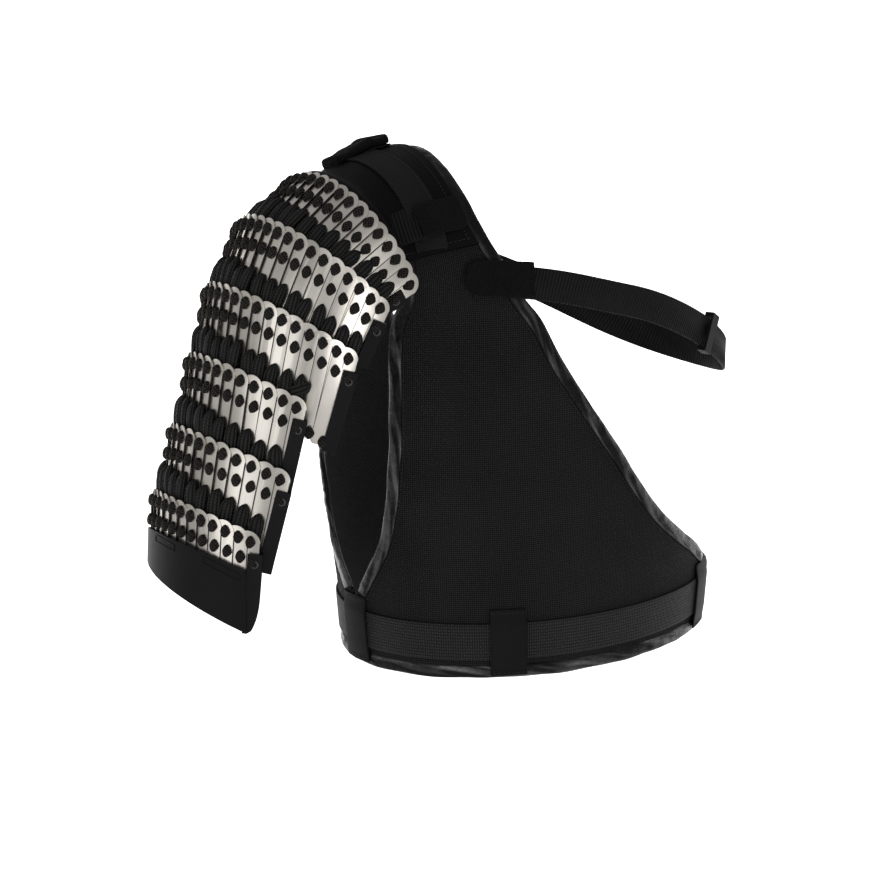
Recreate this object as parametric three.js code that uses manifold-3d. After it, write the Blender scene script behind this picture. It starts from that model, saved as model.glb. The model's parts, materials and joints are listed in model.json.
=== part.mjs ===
// Tactical shoulder armour: a half vest of woven nylon that carries a laced lamellar guard on the wearer's
// right shoulder. Millimetres, +Z up. The wearer faces -Y, so the wearer's left is +X.
// The origin is where the vest sits on the crest of the right shoulder.
import * as THREE from "three";
import { mergeVertices } from "three/addons/utils/BufferGeometryUtils.js";
import Module from "manifold-3d";

const wasm = await Module();
wasm.setup();

// Driving dimensions

const GAP = 0.3; // clearance between pieces that lie side by side
const LAY = 0.5; // clearance between pieces that lie on each other round the body
const SEAT_X = -136; // the shoulder seat, measured out from the middle of the body
const BARREL_AXIS_Z = -118; // height of the axis that the shoulder curves round, through the armpit

const CLOTH = 2.2; // woven panel
const BINDING = { width: 9, off: 2.9, thickness: 1.2 };
const BINDING_TOP = BINDING.off + BINDING.thickness;
const HEM_STEPS = 24;

const BELT = { z: -388, width: 31, thickness: 1.6, steps: 60 };
const BELT_OFF = CLOTH + LAY;
const BELT_TOP = BELT_OFF + BELT.thickness;
const LOOP = { width: 29, top: -362, bottom: -416, landing: 9, thickness: 1.5, steps: 4 };
const BUCKLE = { angle: 100, along: 26, across: 40, height: 11, wall: 2.2 };

const STRAP = { width: 25, thickness: 1.8, steps: 36 };
const CHEST_TAB = { width: 28, thickness: 2.2, off: 7.6, steps: 10 };
const SLIDER = { place: 0.72, along: 12, across: 33, height: 8, wall: 2 };

const FLAP = { reach: 62, rowReach: 66, off: 4.9, inset: 10, thickness: 1.8, steps: 20 };
const LOOP_TAPE = { neckX: -140, armX: -165, frontTilt: 32, backTilt: 128, off: 7.4, thickness: 1.1 };
const TAB = { width: 27, off: 9, thickness: 2.6, steps: 8 };

const PLATE = { width: 20, thickness: 1.1, shingle: 0.9, joggle: 0.4, steps: 3 };
const LAYER_GAP = 9; // how far each scale passes behind the row below it
const CORD = { above: 18, shoulder: 9, below: 5, off: 1.4, web: 0.8 };
const CHANNEL = { top: 15, reach: 11.5, wall: 1.5, room: 1.8, holeRadius: 2.2, holeDrop: 8 };
const BOTTOM_PLATE = { top: 31, backLength: 70, frontLength: 78, off: 1.6, thickness: 3 };

// The body that the vest lies on, as sections from the hem up the chest and over the shoulder.
// z and tilt place a section's plane, which turns about the armpit above the chest. halfWidth and depth are
// the section's ellipse. armhole and inner are the panel's two edges, in degrees from the chest's middle.
const VEST_SECTIONS = [
  { z: -418, tilt: 0, halfWidth: 163, depth: 119, armhole: -89.9, inner: 53 },
  { z: -372, tilt: 0, halfWidth: 167, depth: 121, armhole: -89.9, inner: 50 },
  { z: -356, tilt: 0, halfWidth: 169, depth: 121, armhole: -87, inner: 45 },
  { z: -304, tilt: 0, halfWidth: 176, depth: 123, armhole: -72.5, inner: 17 },
  { z: -223, tilt: 0, halfWidth: 186, depth: 124, armhole: -65.5, inner: -4 },
  { z: -152, tilt: 0, halfWidth: 190, depth: 123, armhole: -64, inner: -18.5 },
  { z: BARREL_AXIS_Z, tilt: 0, halfWidth: 196, depth: 122, armhole: -60, inner: -24 },
  { z: BARREL_AXIS_Z, tilt: 30, halfWidth: 240, depth: 122, armhole: -46, inner: -27 },
  { z: BARREL_AXIS_Z, tilt: 60, halfWidth: 280, depth: 121, armhole: -40, inner: -24 },
  { z: BARREL_AXIS_Z, tilt: 90, halfWidth: 300, depth: 120, armhole: -38.5, inner: -21 },
];

// The chest strap's line, from the front panel to under the left arm. place counts rows of VEST_SECTIONS.
const STRAP_PATH = [
  { place: 6.57, angle: -35, off: 3 },
  { place: 6.54, angle: -30.5, off: 4.5 },
  { place: 6.5, angle: -26, off: 5.1 },
  { place: 6.36, angle: -12, off: 4.4 },
  { place: 5.84, angle: 3.5, off: 3 },
  { place: 5.4, angle: 14, off: 2 },
  { place: 5.08, angle: 25, off: 1 },
  { place: 4.53, angle: 47, off: 1 },
  { place: 4.25, angle: 72, off: 1 },
  { place: 4.2, angle: 90, off: 1 },
];

// Where the chest strap's fastening tab lies, and its width at each place.
const CHEST_TAB_PATH = [
  { place: 6.6, angle: -36.5, share: 0.55 },
  { place: 6.59, angle: -35, share: 0.9 },
  { place: 6.58, angle: -33, share: 1 },
  { place: 6.51, angle: -24, share: 1 },
  { place: 6.5, angle: -22, share: 0.96 },
];

// The two fastening tabs across the shoulder.
const SHOULDER_TABS = [
  { name: "front_tab", tilt: 42, neckX: -126, armX: -173 },
  { name: "rear_tab", tilt: 104, neckX: -117, armX: -172 },
];

// Belt loops, by their angle round the belt. side is 1 on the chest and -1 on the back.
const BELT_LOOPS = [
  { name: "belt_loop_side", angle: -90, side: 1 },
  { name: "belt_loop_front", angle: -33.5, side: 1 },
  { name: "belt_loop_left", angle: 44, side: 1 },
  { name: "belt_loop_back", angle: -33.5, side: -1 },
  { name: "belt_loop_back_left", angle: 44, side: -1 },
];

// The arcs that the rows of scales hang from, from the neck side down the arm, and last the edge that the
// lowest row hangs towards. crestX, crestY and crestZ are the top edge at the crest of the shoulder, lean is
// how far the row's axis dips below the horizontal, and radius is the arc.
const ROW_ARCS = [
  { crestX: -206, crestY: -8, crestZ: -15, lean: 23, radius: 91 },
  { crestX: -256, crestY: -8, crestZ: -43, lean: 42, radius: 92 },
  { crestX: -286, crestY: -5, crestZ: -93, lean: 52, radius: 95 },
  { crestX: -302, crestY: -2, crestZ: -147, lean: 56, radius: 96 },
  { crestX: -318, crestY: 0, crestZ: -202, lean: 59, radius: 97 },
  { crestX: -335, crestY: 0, crestZ: -253, lean: 60, radius: 98 },
  { crestX: -347, crestY: 0, crestZ: -305, lean: 62, radius: 104 },
];

// The scales of each row. strip is how far down the end strips reach, bare is how many scales at each end
// carry no cord to the row below, and cord is how far the cords stand off the scales.
const SCALE_ROWS = [
  { scales: 23, pitch: 11.7, length: 62, strip: 46, bare: 1, cord: 3.8 },
  { scales: 23, pitch: 11.4, length: 70, strip: 52, bare: 1, cord: 4.2 },
  { scales: 21, pitch: 11.8, length: 80, strip: 80, bare: 3, cord: 5.2 },
  { scales: 15, pitch: 12.6, length: 80, strip: 80, bare: 1, cord: 5.4 },
  { scales: 15, pitch: 12.8, length: 80, strip: 80, bare: 1, cord: 4.8 },
  { scales: 15, pitch: 11.2, length: 66, strip: 79, bare: 0, cord: 0 },
];

// Finishes

const finish = (color, roughness, metalness = 0) =>
  new THREE.MeshStandardMaterial({ color, roughness, metalness });
const steel = finish(0xbdb8b0, 0.35, 1);
const plastic = finish(0x17171a, 0.5);
const woven = finish(0x121214, 0.9);
const satin = finish(0x1c1c1e, 0.35);
const webbing = finish(0x161617, 0.8);
const hookTape = finish(0x0f0f11, 0.95);
const paracord = finish(0x141415, 0.85);

// Solids

const DEG = Math.PI / 180;
const vec = (x, y, z) => new THREE.Vector3(x, y, z);
const steps = (count, from = 0, to = 1) =>
  Array.from({ length: count + 1 }, (_, i) => from + ((to - from) * i) / count);

// A closed solid through rings of equal point counts. Each ring runs out along one face and back along the
// other, so its ends are capped by a ladder of quads.
function loft(rings, closed = false) {
  const count = rings[0].length;
  const positions = rings.flat().flatMap((p) => [p.x, p.y, p.z]);
  const index = [];
  const quad = (a, b, c, d) => index.push(a, b, c, a, c, d);
  const last = closed ? rings.length : rings.length - 1;
  for (let r = 0; r < last; r++) {
    const here = r * count;
    const next = ((r + 1) % rings.length) * count;
    for (let i = 0; i < count; i++) {
      const j = (i + 1) % count;
      quad(here + i, here + j, next + j, next + i);
    }
  }
  if (!closed) {
    const end = (rings.length - 1) * count;
    for (let i = 0; i < count / 2 - 1; i++) {
      const j = count - 1 - i;
      quad(i, j, j - 1, i + 1);
      quad(end + i, end + i + 1, end + j - 1, end + j);
    }
  }
  const geometry = new THREE.BufferGeometry();
  geometry.setAttribute("position", new THREE.Float32BufferAttribute(positions, 3));
  geometry.setIndex(index);
  return facingOut(geometry);
}

function signedVolume(geometry) {
  const p = geometry.getAttribute("position");
  const corner = (i) => vec().fromBufferAttribute(p, geometry.index.getX(i));
  let volume = 0;
  for (let i = 0; i < geometry.index.count; i += 3)
    volume += corner(i).dot(corner(i + 1).cross(corner(i + 2))) / 6;
  return volume;
}

function facingOut(geometry) {
  if (signedVolume(geometry) < 0) geometry.index.array.reverse();
  return geometry;
}

function toManifold(geometry) {
  const bare = geometry.clone();
  bare.deleteAttribute("normal");
  bare.deleteAttribute("uv");
  const merged = facingOut(mergeVertices(bare, 1e-4));
  return new wasm.Manifold(
    new wasm.Mesh({
      numProp: 3,
      vertProperties: new Float32Array(merged.getAttribute("position").array),
      triVerts: new Uint32Array(merged.index.array),
    }),
  );
}

function cut(geometry, tool) {
  const mesh = toManifold(geometry).subtract(toManifold(tool)).getMesh();
  const left = new THREE.BufferGeometry();
  left.setAttribute("position", new THREE.BufferAttribute(mesh.vertProperties, 3));
  left.setIndex(new THREE.BufferAttribute(mesh.triVerts, 1));
  return left;
}

function piece(name, geometry, material) {
  const mesh = new THREE.Mesh(geometry, material);
  mesh.name = name;
  return mesh;
}

// The body surface

// A smooth value of one column of a table, at a place counted in rows. It never swings past its rows.
function column(rows, name, place) {
  const i = Math.max(0, Math.min(Math.floor(place), rows.length - 2));
  const t = place - i;
  const at = (k) => rows[Math.max(0, Math.min(rows.length - 1, k))][name];
  const [a, b, c, d] = [at(i - 1), at(i), at(i + 1), at(i + 2)];
  const slope = (before, after) => (before * after > 0 ? (2 * before * after) / (before + after) : 0);
  const slopeB = slope(b - a, c - b);
  const slopeC = slope(c - b, d - c);
  return (
    b * (2 * t ** 3 - 3 * t ** 2 + 1) +
    slopeB * (t ** 3 - 2 * t ** 2 + t) +
    c * (3 * t ** 2 - 2 * t ** 3) +
    slopeC * (t ** 3 - t ** 2)
  );
}

function rowAt(rows, place) {
  const names = Object.keys(rows[0]);
  return Object.fromEntries(names.map((name) => [name, column(rows, name, place)]));
}

const LAST_SECTION = VEST_SECTIONS.length - 1;
const sectionAt = (place) => rowAt(VEST_SECTIONS, place);

// The section of the body at a height, below the armpit, or at a tilt, over the shoulder.
function sectionWhere(name, value) {
  let low = 0;
  let high = LAST_SECTION;
  for (let k = 0; k < 30; k++) {
    const middle = (low + high) / 2;
    if (sectionAt(middle)[name] >= value) high = middle;
    else low = middle;
  }
  return { ...sectionAt(high), [name]: value };
}

// The section at a tilt that runs on over the crest: beyond 90 degrees it comes down the back.
function sectionAtTilt(tilt) {
  return { ...sectionWhere("tilt", Math.min(tilt, 180 - tilt)), tilt };
}

// A point off the body at an angle round a section. side is 1 on the chest and -1 on the back.
function bodyPoint(section, angle, off, side = 1) {
  const { z, tilt, halfWidth, depth } = section;
  const sin = Math.sin(angle * DEG);
  const cos = Math.cos(angle * DEG);
  const normal = new THREE.Vector2(sin / halfWidth, cos / depth).normalize();
  const x = halfWidth * sin + normal.x * off;
  const out = depth * cos + normal.y * off;
  return vec(x, -side * out * Math.cos(tilt * DEG), z + out * Math.sin(tilt * DEG));
}

const angleOfX = (section, x) => Math.asin(x / section.halfWidth) / DEG;

// A ring across a wall: out along the outer face at each angle, back along the inner face.
function wallRing(section, angles, inner, outer, side) {
  const face = (off) => angles.map((angle) => bodyPoint(section, angle, off, side));
  return [...face(outer), ...face(inner).reverse()];
}

// Ribbons follow a line of stations, each with a point, the body's normal there and the half widths to the
// ribbon's two edges.
function ribbon(stations, thickness) {
  const rings = stations.map(({ point, up, left, right, along }, i) => {
    const before = stations[Math.max(0, i - 1)].point;
    const after = stations[Math.min(stations.length - 1, i + 1)].point;
    const course = along ?? after.clone().sub(before).normalize();
    const across = course.clone().cross(up).normalize();
    const at = (sideways, off) => point.clone().addScaledVector(across, sideways).addScaledVector(up, off);
    return [at(left, thickness), at(right, thickness), at(right, 0), at(left, 0)];
  });
  return loft(rings);
}

function station(section, angle, off, side, left, right) {
  const point = bodyPoint(section, angle, off, side);
  const up = bodyPoint(section, angle, off + 1, side).sub(point);
  return { point, up, left, right };
}

// Vest panels and their bindings

const PANEL_STEPS = { across: 14, perSection: 2 };
const PANEL_PLACES = steps(PANEL_STEPS.perSection * LAST_SECTION, 0, LAST_SECTION);

// The section under a panel, which stops short of the shoulder seam.
function panelSection(place) {
  const seam = GAP / VEST_SECTIONS[LAST_SECTION].depth / DEG;
  const section = sectionAt(place);
  section.tilt = Math.min(section.tilt, 90 - seam);
  return section;
}

function panel(side) {
  const rings = PANEL_PLACES.map((place) => {
    const section = panelSection(place);
    return wallRing(section, steps(PANEL_STEPS.across, section.armhole, section.inner), 0, CLOTH, side);
  });
  return loft(rings);
}

// A binding sewn along an edge of a panel. inward is the sign of the angle from that edge into the panel.
function binding(edge, inward, side) {
  const places = PANEL_PLACES.filter((place) => place >= 2);
  const stations = places.map((place) => {
    const section = panelSection(place);
    return station(section, section[edge], BINDING.off, side, 0, inward * side * BINDING.width);
  });
  stations.at(-1).along = vec(0, side, 0);
  return ribbon(stations, BINDING.thickness);
}

// A flat band round part of the body between two heights.
function band(lowZ, highZ, angles, off, thickness, side, closed = false) {
  const low = sectionWhere("z", lowZ);
  const high = sectionWhere("z", highZ);
  const rings = angles.map((angle) => [
    bodyPoint(high, angle, off + thickness, side),
    bodyPoint(low, angle, off + thickness, side),
    bodyPoint(low, angle, off, side),
    bodyPoint(high, angle, off, side),
  ]);
  return loft(rings, closed);
}

function hemBinding(side) {
  const { z, armhole, inner } = VEST_SECTIONS[0];
  const angles = steps(HEM_STEPS, armhole, inner);
  return band(z, z + BINDING.width, angles, BINDING.off, BINDING.thickness, side);
}

const vest = new THREE.Group();
for (const [name, side] of [["front", 1], ["back", -1]]) {
  vest.add(
    piece(`${name}_panel`, panel(side), woven),
    piece(`${name}_armhole_binding`, binding("armhole", 1, side), satin),
    piece(`${name}_edge_binding`, binding("inner", -1, side), satin),
    piece(`${name}_hem_binding`, hemBinding(side), satin),
  );
}

// Belt, its loops and its buckle

const belt = new THREE.Group();
const beltLow = BELT.z - BELT.width / 2;
const beltHigh = BELT.z + BELT.width / 2;
const beltAngles = steps(BELT.steps, -180, 180).slice(0, -1);
const beltBand = band(beltLow, beltHigh, beltAngles, BELT_OFF, BELT.thickness, 1, true);
belt.add(piece("belt", beltBand, webbing));

// A loop that lies on the panel above and below the belt and bridges it between.
function beltLoop({ angle, side }) {
  const half = LOOP.width / 2 / sectionWhere("z", BELT.z).halfWidth / DEG;
  const spread = half * (Math.abs(angle) === 90 ? VEST_SECTIONS[0].halfWidth / VEST_SECTIONS[0].depth : 1);
  const angles = steps(LOOP.steps, angle - spread, angle + spread);
  const over = BELT_TOP + LAY;
  const rest = BINDING_TOP + LAY;
  const profile = [
    { z: LOOP.top, off: rest },
    { z: LOOP.top - LOOP.landing, off: rest },
    { z: beltHigh + 2 * LAY, off: over },
    { z: beltLow - 2 * LAY, off: over },
    { z: LOOP.bottom + LOOP.landing / 2, off: rest },
    { z: LOOP.bottom, off: rest },
  ];
  const rings = profile.map(({ z, off }) =>
    wallRing(sectionWhere("z", z), angles, off, off + LOOP.thickness, side),
  );
  return loft(rings);
}

for (const loop of BELT_LOOPS) belt.add(piece(loop.name, beltLoop(loop), satin));

// A rigid sleeve round a flat band, in a frame with X along the band and Z off the body.
function sleeve({ along, across, height, wall }) {
  const block = new THREE.BoxGeometry(along, across, height);
  const way = new THREE.BoxGeometry(along + 2, across - 2 * wall, height - 2 * wall);
  return cut(block, way);
}

function frameOf({ point, up }, course) {
  const across = up.clone().cross(course).normalize();
  const along = across.clone().cross(up);
  return new THREE.Matrix4().makeBasis(along, across, up).setPosition(point);
}

function beltBuckle() {
  const section = sectionWhere("z", BELT.z);
  const here = station(section, BUCKLE.angle, BELT_OFF + BELT.thickness / 2, 1, 0, 0);
  const course = bodyPoint(section, BUCKLE.angle + 1, 0).sub(bodyPoint(section, BUCKLE.angle - 1, 0));
  return sleeve(BUCKLE).applyMatrix4(frameOf(here, course));
}

belt.add(piece("belt_buckle", beltBuckle(), plastic));

// Chest strap with its fastening tab and slider

const chest = new THREE.Group();

// A place along the strap, from 0 on the chest through 1 under the left arm to 2 on the back.
function strapStation(place, half) {
  const side = place <= 1 ? 1 : -1;
  const { place: row, angle, off } = rowAt(STRAP_PATH, (1 - Math.abs(place - 1)) * (STRAP_PATH.length - 1));
  return station(sectionAt(row), angle, off, side, -half, half);
}

const strapStations = steps(STRAP.steps, 0, 2).map((place) => strapStation(place, STRAP.width / 2));
chest.add(piece("chest_strap", ribbon(strapStations, STRAP.thickness), webbing));

const tabStations = steps(CHEST_TAB.steps, 0, CHEST_TAB_PATH.length - 1).map((place) => {
  const { place: row, angle, share } = rowAt(CHEST_TAB_PATH, place);
  const half = (CHEST_TAB.width / 2) * share;
  return station(sectionAt(row), angle, CHEST_TAB.off, 1, -half, half);
});
chest.add(piece("chest_strap_tab", ribbon(tabStations, CHEST_TAB.thickness), hookTape));

const sliderHere = strapStation(SLIDER.place, 0);
sliderHere.point.addScaledVector(sliderHere.up, STRAP.thickness / 2);
const sliderBefore = strapStation(SLIDER.place - 0.02, 0).point;
const sliderCourse = strapStation(SLIDER.place + 0.02, 0).point.sub(sliderBefore);
const slider = sleeve(SLIDER).applyMatrix4(frameOf(sliderHere, sliderCourse));
chest.add(piece("strap_slider", slider, plastic));

// Lamellar guard

const guard = new THREE.Group();

// A row's arc: the direction away from its centre at an angle towards the front, and the edge there.
function rowFrame({ crestX, crestY, crestZ, lean, radius }) {
  const dip = lean * DEG;
  const crestOut = vec(-Math.sin(dip), 0, Math.cos(dip));
  const centre = vec(crestX, crestY, crestZ).addScaledVector(crestOut, -radius);
  const out = (angle) =>
    crestOut.clone().multiplyScalar(Math.cos(angle)).add(vec(0, -Math.sin(angle), 0));
  const edge = (angle, off = 0) => centre.clone().addScaledVector(out(angle), radius + off);
  return { radius, out, edge };
}

const rowFrames = ROW_ARCS.map(rowFrame);
const lastRow = SCALE_ROWS.length - 1;

// A place on a row, counted in scales from its back end: the top of the row's edge, turned so that a scale
// there hangs down and passes behind the row below. X runs to the front and Z away from the arm.
function rowMatrix(k, place) {
  const { scales, pitch } = SCALE_ROWS[k];
  const { radius, out, edge } = rowFrames[k];
  const angle = ((place - (scales - 1) / 2) * pitch) / radius;
  const top = edge(angle);
  const up = top.clone().sub(rowFrames[k + 1].edge(angle, -LAYER_GAP)).normalize();
  const front = up.clone().cross(out(angle)).normalize();
  const normal = front.clone().cross(up);
  return new THREE.Matrix4().makeBasis(front, up, normal).setPosition(top);
}

// How far down a scale at that place the top of the row below comes.
function rowReach(k, place) {
  const { scales, pitch } = SCALE_ROWS[k];
  const { radius, edge } = rowFrames[k];
  const angle = ((place - (scales - 1) / 2) * pitch) / radius;
  return edge(angle).distanceTo(rowFrames[k + 1].edge(angle, -LAYER_GAP));
}

// A ring through a row's wall at a place: four corners from top to bottom and from inner to outer face.
function rowRing(k, place, top, bottom, inner, outer) {
  const matrix = rowMatrix(k, place);
  const corner = (y, z) => vec(0, y, z).applyMatrix4(matrix);
  return [corner(-top, outer), corner(-bottom, outer), corner(-bottom, inner), corner(-top, inner)];
}

// The scales of a row as one shingled wall. Each has a round top, and its front edge lies over the next.
function scaleRow(k) {
  const { scales, pitch, length } = SCALE_ROWS[k];
  const r = PLATE.width / 2;
  const lap = PLATE.joggle / 2 / pitch;
  const rings = [];
  for (let i = 0; i < scales; i++) {
    const from = i === 0 ? -r / pitch : -0.5 + lap;
    const to = i === scales - 1 ? r / pitch : 0.5 - lap;
    for (const share of steps(PLATE.steps, from, to)) {
      const drop = r - Math.sqrt(Math.max(0, r ** 2 - (share * pitch) ** 2));
      const rise = share * PLATE.shingle;
      const half = PLATE.thickness / 2;
      rings.push(rowRing(k, i + share, drop, length, rise - half, rise + half));
    }
  }
  return loft(rings);
}

// The cords over a row, one bundle down each scale, joined behind the tops of the row below.
function lacing(k) {
  const { scales, bare, cord } = SCALE_ROWS[k];
  const bundle = [
    { share: -0.4, above: CORD.shoulder, height: CORD.web },
    { share: -0.2, above: CORD.above, height: cord },
    { share: 0.2, above: CORD.above, height: cord },
    { share: 0.4, above: CORD.shoulder, height: CORD.web },
  ];
  const rings = [];
  for (let i = bare; i < scales - bare; i++) {
    for (const { share, above, height } of bundle) {
      const reach = rowReach(k, i + share);
      rings.push(rowRing(k, i + share, reach - above, reach + CORD.below, CORD.off, CORD.off + height));
    }
  }
  return loft(rings);
}

// A channel folded over the last scale of a row, open towards it. end is 1 at the front, -1 at the back.
function endStrip(k, end) {
  const { scales, pitch, strip } = SCALE_ROWS[k];
  const bottom = k === lastRow && end < 0 ? BOTTOM_PLATE.backLength + 1 : strip;
  const { top, reach, wall, room, holeRadius, holeDrop } = CHANNEL;
  const fold = reach / 2;
  const outer = room + wall;
  const profile = new THREE.Shape()
    .moveTo(-fold, outer)
    .lineTo(fold, outer)
    .lineTo(fold, -outer)
    .lineTo(-fold, -outer)
    .lineTo(-fold, -room)
    .lineTo(fold - wall, -room)
    .lineTo(fold - wall, room)
    .lineTo(-fold, room)
    .closePath();
  const channel = new THREE.ExtrudeGeometry(profile, { depth: bottom - top, bevelEnabled: false });
  channel.rotateX(Math.PI / 2).translate(0, -top, 0);
  const hole = new THREE.CylinderGeometry(holeRadius, holeRadius, 2 * wall, 8);
  hole.rotateX(Math.PI / 2).translate(0, -top - holeDrop, room + wall / 2);
  const folded = cut(channel, hole);
  if (end < 0) folded.scale(-1, 1, 1).index.array.reverse();
  const edge = PLATE.width / 2 - fold + wall + GAP;
  const place = end > 0 ? scales - 1 + edge / pitch : -edge / pitch;
  return folded.applyMatrix4(rowMatrix(k, place));
}

// The smooth plate over the lower part of the last row.
function bottomPlate(k) {
  const { scales, pitch } = SCALE_ROWS[k];
  const { top, backLength, frontLength, off, thickness } = BOTTOM_PLATE;
  const reach = (PLATE.width / 2 + CHANNEL.wall - CHANNEL.reach - GAP) / pitch;
  const rings = steps(2 * scales, 0, 1).map((share) => {
    const place = -reach + share * (scales - 1 + 2 * reach);
    const bottom = backLength + (frontLength - backLength) * share;
    return rowRing(k, place, top, bottom, off, off + thickness);
  });
  return loft(rings);
}

SCALE_ROWS.forEach((row, k) => {
  const rowGroup = new THREE.Group();
  rowGroup.add(
    piece(`scale_row_${k + 1}`, scaleRow(k), steel),
    piece(`front_strip_${k + 1}`, endStrip(k, 1), plastic),
    piece(`rear_strip_${k + 1}`, endStrip(k, -1), plastic),
  );
  if (k < lastRow) rowGroup.add(piece(`lacing_${k + 1}`, lacing(k), paracord));
  guard.add(rowGroup);
});
guard.add(piece("bottom_plate", bottomPlate(lastRow), plastic));

// Shoulder flap with its loop tape and two tabs

const shoulder = new THREE.Group();

// The flap lies on the vest from the neck side and runs on under the tops of the first scales.
function flap() {
  const rings = steps(FLAP.steps, -1, 1).map((share) => {
    const section = sectionAtTilt(90 - share * FLAP.reach);
    const neckX = section.halfWidth * Math.sin(section.inner * DEG) - FLAP.inset;
    const armX = section.halfWidth * Math.sin(section.armhole * DEG);
    const row = SCALE_ROWS[0];
    const place = (row.scales - 1) / 2 + (share * FLAP.rowReach * DEG * ROW_ARCS[0].radius) / row.pitch;
    const under = rowMatrix(0, place);
    const face = (lift) => [
      ...steps(3, neckX, armX).map((x) => bodyPoint(section, angleOfX(section, x), FLAP.off + lift)),
      vec(0, 2, lift - 3.2).applyMatrix4(under),
      vec(0, -14, lift - 3.2).applyMatrix4(under),
    ];
    return [...face(FLAP.thickness), ...face(0).reverse()];
  });
  return loft(rings);
}

function loopTape() {
  const { neckX, armX, frontTilt, backTilt, off, thickness } = LOOP_TAPE;
  const rings = steps(FLAP.steps, frontTilt, backTilt).map((tilt) => {
    const section = sectionAtTilt(tilt);
    const angles = [angleOfX(section, neckX), angleOfX(section, armX)];
    return wallRing(section, angles, off, off + thickness, 1);
  });
  return loft(rings);
}

function shoulderTab({ tilt, neckX, armX }) {
  const half = TAB.width / 2 / VEST_SECTIONS[LAST_SECTION].depth / DEG;
  const tilts = steps(3, tilt - half, tilt + half);
  const rings = steps(TAB.steps, neckX, armX).map((x) => {
    const face = (off) =>
      tilts.map((t) => bodyPoint(sectionAtTilt(t), angleOfX(sectionAtTilt(t), x), off));
    return [...face(TAB.off + TAB.thickness), ...face(TAB.off).reverse()];
  });
  return loft(rings);
}

shoulder.add(piece("shoulder_flap", flap(), woven), piece("loop_tape", loopTape(), hookTape));
for (const tab of SHOULDER_TABS) shoulder.add(piece(tab.name, shoulderTab(tab), hookTape));

const armour = new THREE.Group();
armour.add(vest, belt, chest, shoulder, guard);
const crest = sectionAt(LAST_SECTION);
armour.position.copy(bodyPoint(crest, angleOfX(crest, SEAT_X), 0)).negate();

export default armour;
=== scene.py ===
# Looks for the laced shoulder armour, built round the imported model. Metres, +Z up, wearer faces -Y.
import json
import math

import bmesh
import bpy
import numpy as np
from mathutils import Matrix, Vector, noise

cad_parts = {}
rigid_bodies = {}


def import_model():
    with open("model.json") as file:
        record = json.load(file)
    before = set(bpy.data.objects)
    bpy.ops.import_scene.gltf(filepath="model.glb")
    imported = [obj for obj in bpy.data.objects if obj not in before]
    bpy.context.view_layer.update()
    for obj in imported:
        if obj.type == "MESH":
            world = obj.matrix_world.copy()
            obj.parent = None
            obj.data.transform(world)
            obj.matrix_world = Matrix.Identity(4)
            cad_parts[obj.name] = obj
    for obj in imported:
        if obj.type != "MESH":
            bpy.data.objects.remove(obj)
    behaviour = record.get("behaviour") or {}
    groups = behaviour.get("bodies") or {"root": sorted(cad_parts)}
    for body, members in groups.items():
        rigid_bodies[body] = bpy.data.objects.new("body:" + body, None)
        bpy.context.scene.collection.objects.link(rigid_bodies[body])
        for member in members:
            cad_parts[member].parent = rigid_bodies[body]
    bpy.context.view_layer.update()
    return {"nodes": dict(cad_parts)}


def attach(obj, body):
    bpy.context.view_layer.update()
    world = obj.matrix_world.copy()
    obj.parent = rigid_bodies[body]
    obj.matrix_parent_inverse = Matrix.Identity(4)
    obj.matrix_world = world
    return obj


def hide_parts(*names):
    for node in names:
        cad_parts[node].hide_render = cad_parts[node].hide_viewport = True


for stray in list(bpy.data.objects):
    bpy.data.objects.remove(stray)
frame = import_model()
scene = bpy.context.scene
print("frame loaded,", len(frame["nodes"]), "nodes")

mm = 0.001
degree = math.pi / 180


# node helpers

def join(tree, value, socket):
    if isinstance(value, bpy.types.NodeSocket):
        tree.links.new(value, socket)
    elif value is not None:
        socket.default_value = value


def addNode(tree, kind, inputs=None, **settings):
    node = tree.nodes.new(kind)
    for name, value in settings.items():
        setattr(node, name, value)
    for name, value in (inputs or {}).items():
        join(tree, value, node.inputs[name])
    return node.outputs


def calc(tree, operation, *values):
    return addNode(tree, "ShaderNodeMath", dict(enumerate(values)), operation=operation)[0]


def newGroup(name, kind, inputs, outputs):
    tree = bpy.data.node_groups.new(name, kind)
    for label, socketKind, value in inputs:
        socket = tree.interface.new_socket(label, in_out="INPUT", socket_type="NodeSocket" + socketKind)
        if value is not None:
            socket.default_value = value
    for label, socketKind in outputs:
        tree.interface.new_socket(label, in_out="OUTPUT", socket_type="NodeSocket" + socketKind)
    return tree, addNode(tree, "NodeGroupInput"), tree.nodes.new("NodeGroupOutput").inputs


def split(tree, vector):
    return addNode(tree, "ShaderNodeSeparateXYZ", {"Vector": vector})


def remap(tree, value, low, high, span=(0, 1)):
    return addNode(tree, "ShaderNodeMapRange", {
        "Value": value, "From Min": span[0], "From Max": span[1], "To Min": low, "To Max": high})["Result"]


def noiseNode(tree, spot, scale, detail, **more):
    inputs = {"Vector": spot, "Scale": scale, "Detail": detail, **more}
    return addNode(tree, "ShaderNodeTexNoise", inputs)["Fac"]


def ridge(tree, turns):
    return calc(tree, "ABSOLUTE", calc(tree, "SINE", calc(tree, "MULTIPLY", turns, math.pi)))


def countIn(tree, run, pitch):
    # how often a pitch in mm goes into a run in metres
    return calc(tree, "DIVIDE", run, calc(tree, "MULTIPLY", pitch, mm))


# shared surface effects

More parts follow.
